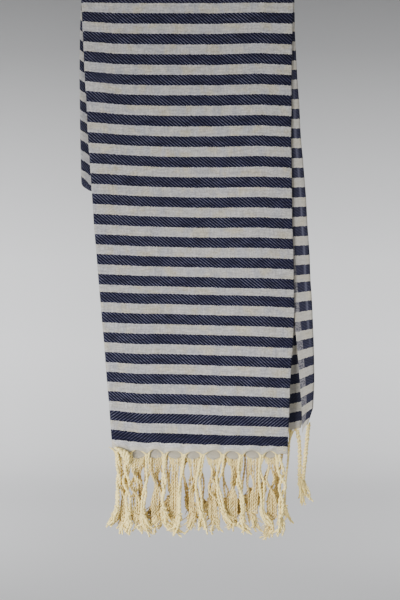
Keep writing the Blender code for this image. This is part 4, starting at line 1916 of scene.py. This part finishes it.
@dataclass
class Studio:
    """The sweep behind the towel, the lights and the camera."""

    camera_place: tuple[float, float, float] = (0.0175, -1.6175738, -0.1924047)
    camera_pitch: float = 83.0
    focal: float = 76.8
    floor_height: float = -1.18
    wall: float = 2.8
    bend: float = 0.8
    half_width: float = 5.0
    near_edge: float = -4.0
    wall_top: float = 2.4
    bend_steps: int = 24
    sky_strength: float = 0.17
    paper_shade_tones: tuple[tuple[float, float], ...] = (
        (-2.56, 0.88),
        (-2.12, 0.83),
        (-1.67, 0.92),
        (-1.07, 0.92),
        (-0.63, 0.78),
        (-0.38, 0.61),
        (-0.22, 0.52),
        (-0.04, 0.415),
        (0.12, 0.32),
        (0.28, 0.265),
    )  # painted shade along the sweep: tones by height and distance, from the floor up
    lamps: tuple[Lamp, ...] = (
        Lamp("key", (-1.3, -1.3, -0.50), (0, 0, -0.76), 0.8, 0.8, 10.4, 70.0),
        Lamp("fill", (1.25, -1.55, -0.15), (0, 0, -0.45), 1.2, 1.2, 4.2, 100.0),
        Lamp("top", (-0.2, -0.7, 1.1), (0, 0.15, -0.7), 1.0, 1.0, 2.6, 110.0),
        Lamp("wall left", (-1.45, 1.35, -0.37), (0.15, 2.8, -0.45), 1.3, 1.3, 21.0, 140.0),
        Lamp("wall right", (1.45, 1.35, -0.37), (-0.15, 2.8, -0.45), 1.3, 1.3, 14.0, 140.0),
        Lamp("back", (0.7, 1.5, 0.5), (0, 0, -0.4), 1.0, 1.0, 9.0, 70.0),
    )

    def sweep(self) -> bpy.types.Object:
        """The pale floor that curves up into a backdrop.

        Returns:
            The sweep.
        """
        profile = [(self.near_edge, self.floor_height)]
        for i in range(self.bend_steps + 1):
            angle = math.pi / 2 * i / self.bend_steps
            y = self.wall - self.bend + self.bend * math.sin(angle)
            z = self.floor_height + self.bend * (1 - math.cos(angle))
            profile.append((y, z))
        profile.append((self.wall, self.wall_top))
        points = [(x, y, z) for y, z in profile for x in (-self.half_width, self.half_width)]
        faces = [(2 * i, 2 * i + 1, 2 * i + 3, 2 * i + 2) for i in range(len(profile) - 1)]
        mesh = bpy.data.meshes.new("sweep")
        mesh.from_pydata(points, [], faces)
        for polygon in mesh.polygons:
            polygon.use_smooth = True
        mesh.materials.append(self.paper())
        sweep = placed("sweep", mesh)
        return sweep

    def paper(self) -> bpy.types.Material:
        """The sweep's finish: pale on the floor, and darker up the wall as painted shade, with painted light
        on the left.

        Returns:
            The material.
        """
        finish = Finish("pale_paper", 0.95, 0.1)
        graph = finish.graph
        place = graph.node("ShaderNodeTexCoord").outputs["Object"]
        x, y, z = graph.node("ShaderNodeSeparateXYZ", None, Vector=place).outputs
        along = graph.plus(z, graph.less(y, self.wall))
        low, high = self.paper_shade_tones[0][0], self.paper_shade_tones[-1][0]
        share = graph.node("ShaderNodeMapRange", {"clamp": True}, in0=along, in1=low, in2=high)
        ramp = graph.node("ShaderNodeValToRGB", None, in0=share.outputs[0])
        stops = ramp.color_ramp.elements
        for number, (at, tone) in enumerate(self.paper_shade_tones):
            if number > 1:
                stops.new(1.0)
            stops[number].position = (at - low) / (high - low)
            stops[number].color = (tone, tone * 1.005, tone * 1.022, 1.0)
        # painted light: the left of the sweep is lighter
        colour = graph.shade(ramp.outputs[0], graph.ramp(x, -0.7, -0.15, 1.06, 1.0))
        return finish.closed(colour, None, 0.0, 0.0)

    def light(self, lamp: Lamp) -> None:
        """Adds one soft light.

        Args:
            lamp: the light.
        """
        data = bpy.data.lights.new(lamp.name, "AREA")
        data.shape = "RECTANGLE"
        data.size, data.size_y = lamp.width, lamp.height
        data.energy = lamp.power
        data.spread = math.radians(lamp.spread)
        made = bpy.data.objects.new(lamp.name, data)
        made.location = lamp.place
        aim = Vector(lamp.aim) - Vector(lamp.place)
        made.rotation_euler = aim.to_track_quat("-Z", "Y").to_euler()
        bpy.context.scene.collection.objects.link(made)

    def camera(self) -> None:
        """Adds the camera at the photograph's angle."""
        data = bpy.data.cameras.new("camera")
        data.sensor_fit = "AUTO"
        data.sensor_width = 36.0
        data.lens = self.focal
        made = bpy.data.objects.new("camera", data)
        made.location = self.camera_place
        made.rotation_euler = (math.radians(self.camera_pitch), 0.0, 0.0)
        bpy.context.scene.collection.objects.link(made)
        bpy.context.scene.camera = made

    def build(self) -> None:
        """Makes the whole studio."""
        world = bpy.data.worlds.new("studio")
        world.use_nodes = True
        sky = world.node_tree.nodes["Background"].inputs
        sky["Color"].default_value = (1.0, 1.0, 1.0, 1.0)
        sky["Strength"].default_value = self.sky_strength
        bpy.context.scene.world = world
        self.sweep()
        for lamp in self.lamps:
            self.light(lamp)
        self.camera()


def main() -> None:
    """Builds the studio, the cloth and both fringes, attaches each piece to the root body and hides the CAD
    part it replaces.
    """
    logging.basicConfig(level=logging.INFO, format="%(message)s")
    Studio().build()
    course = FoldedCourse()
    cloth = TowelCloth(course)
    for run in ROWS:
        roots = [root for root in lock_roots(course) if root.run == run]
        cloth.roots[run] = sorted(course.front(root, course.front_hem(root), True).x for root in roots)
    sheet = cloth.build(StripedWeave().material())
    yarn = CottonYarn().material()
    tree = CordTree()
    for side, node, seed in ((Side.FRONT, "fringe_front", 11), (Side.HIDDEN, "fringe_inner", 23)):
        fringe = Fringe(course, side, cloth, seed).build(tree, yarn)
        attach(fringe, "root")
        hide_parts(node)
        LOG.info("%s: %d faces", fringe.name, len(fringe.data.polygons))
    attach(sheet, "root")
    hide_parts("towel_cloth")
    LOG.info("%s: %d faces", sheet.name, len(sheet.data.polygons))


if __name__ == "__main__":
    main()
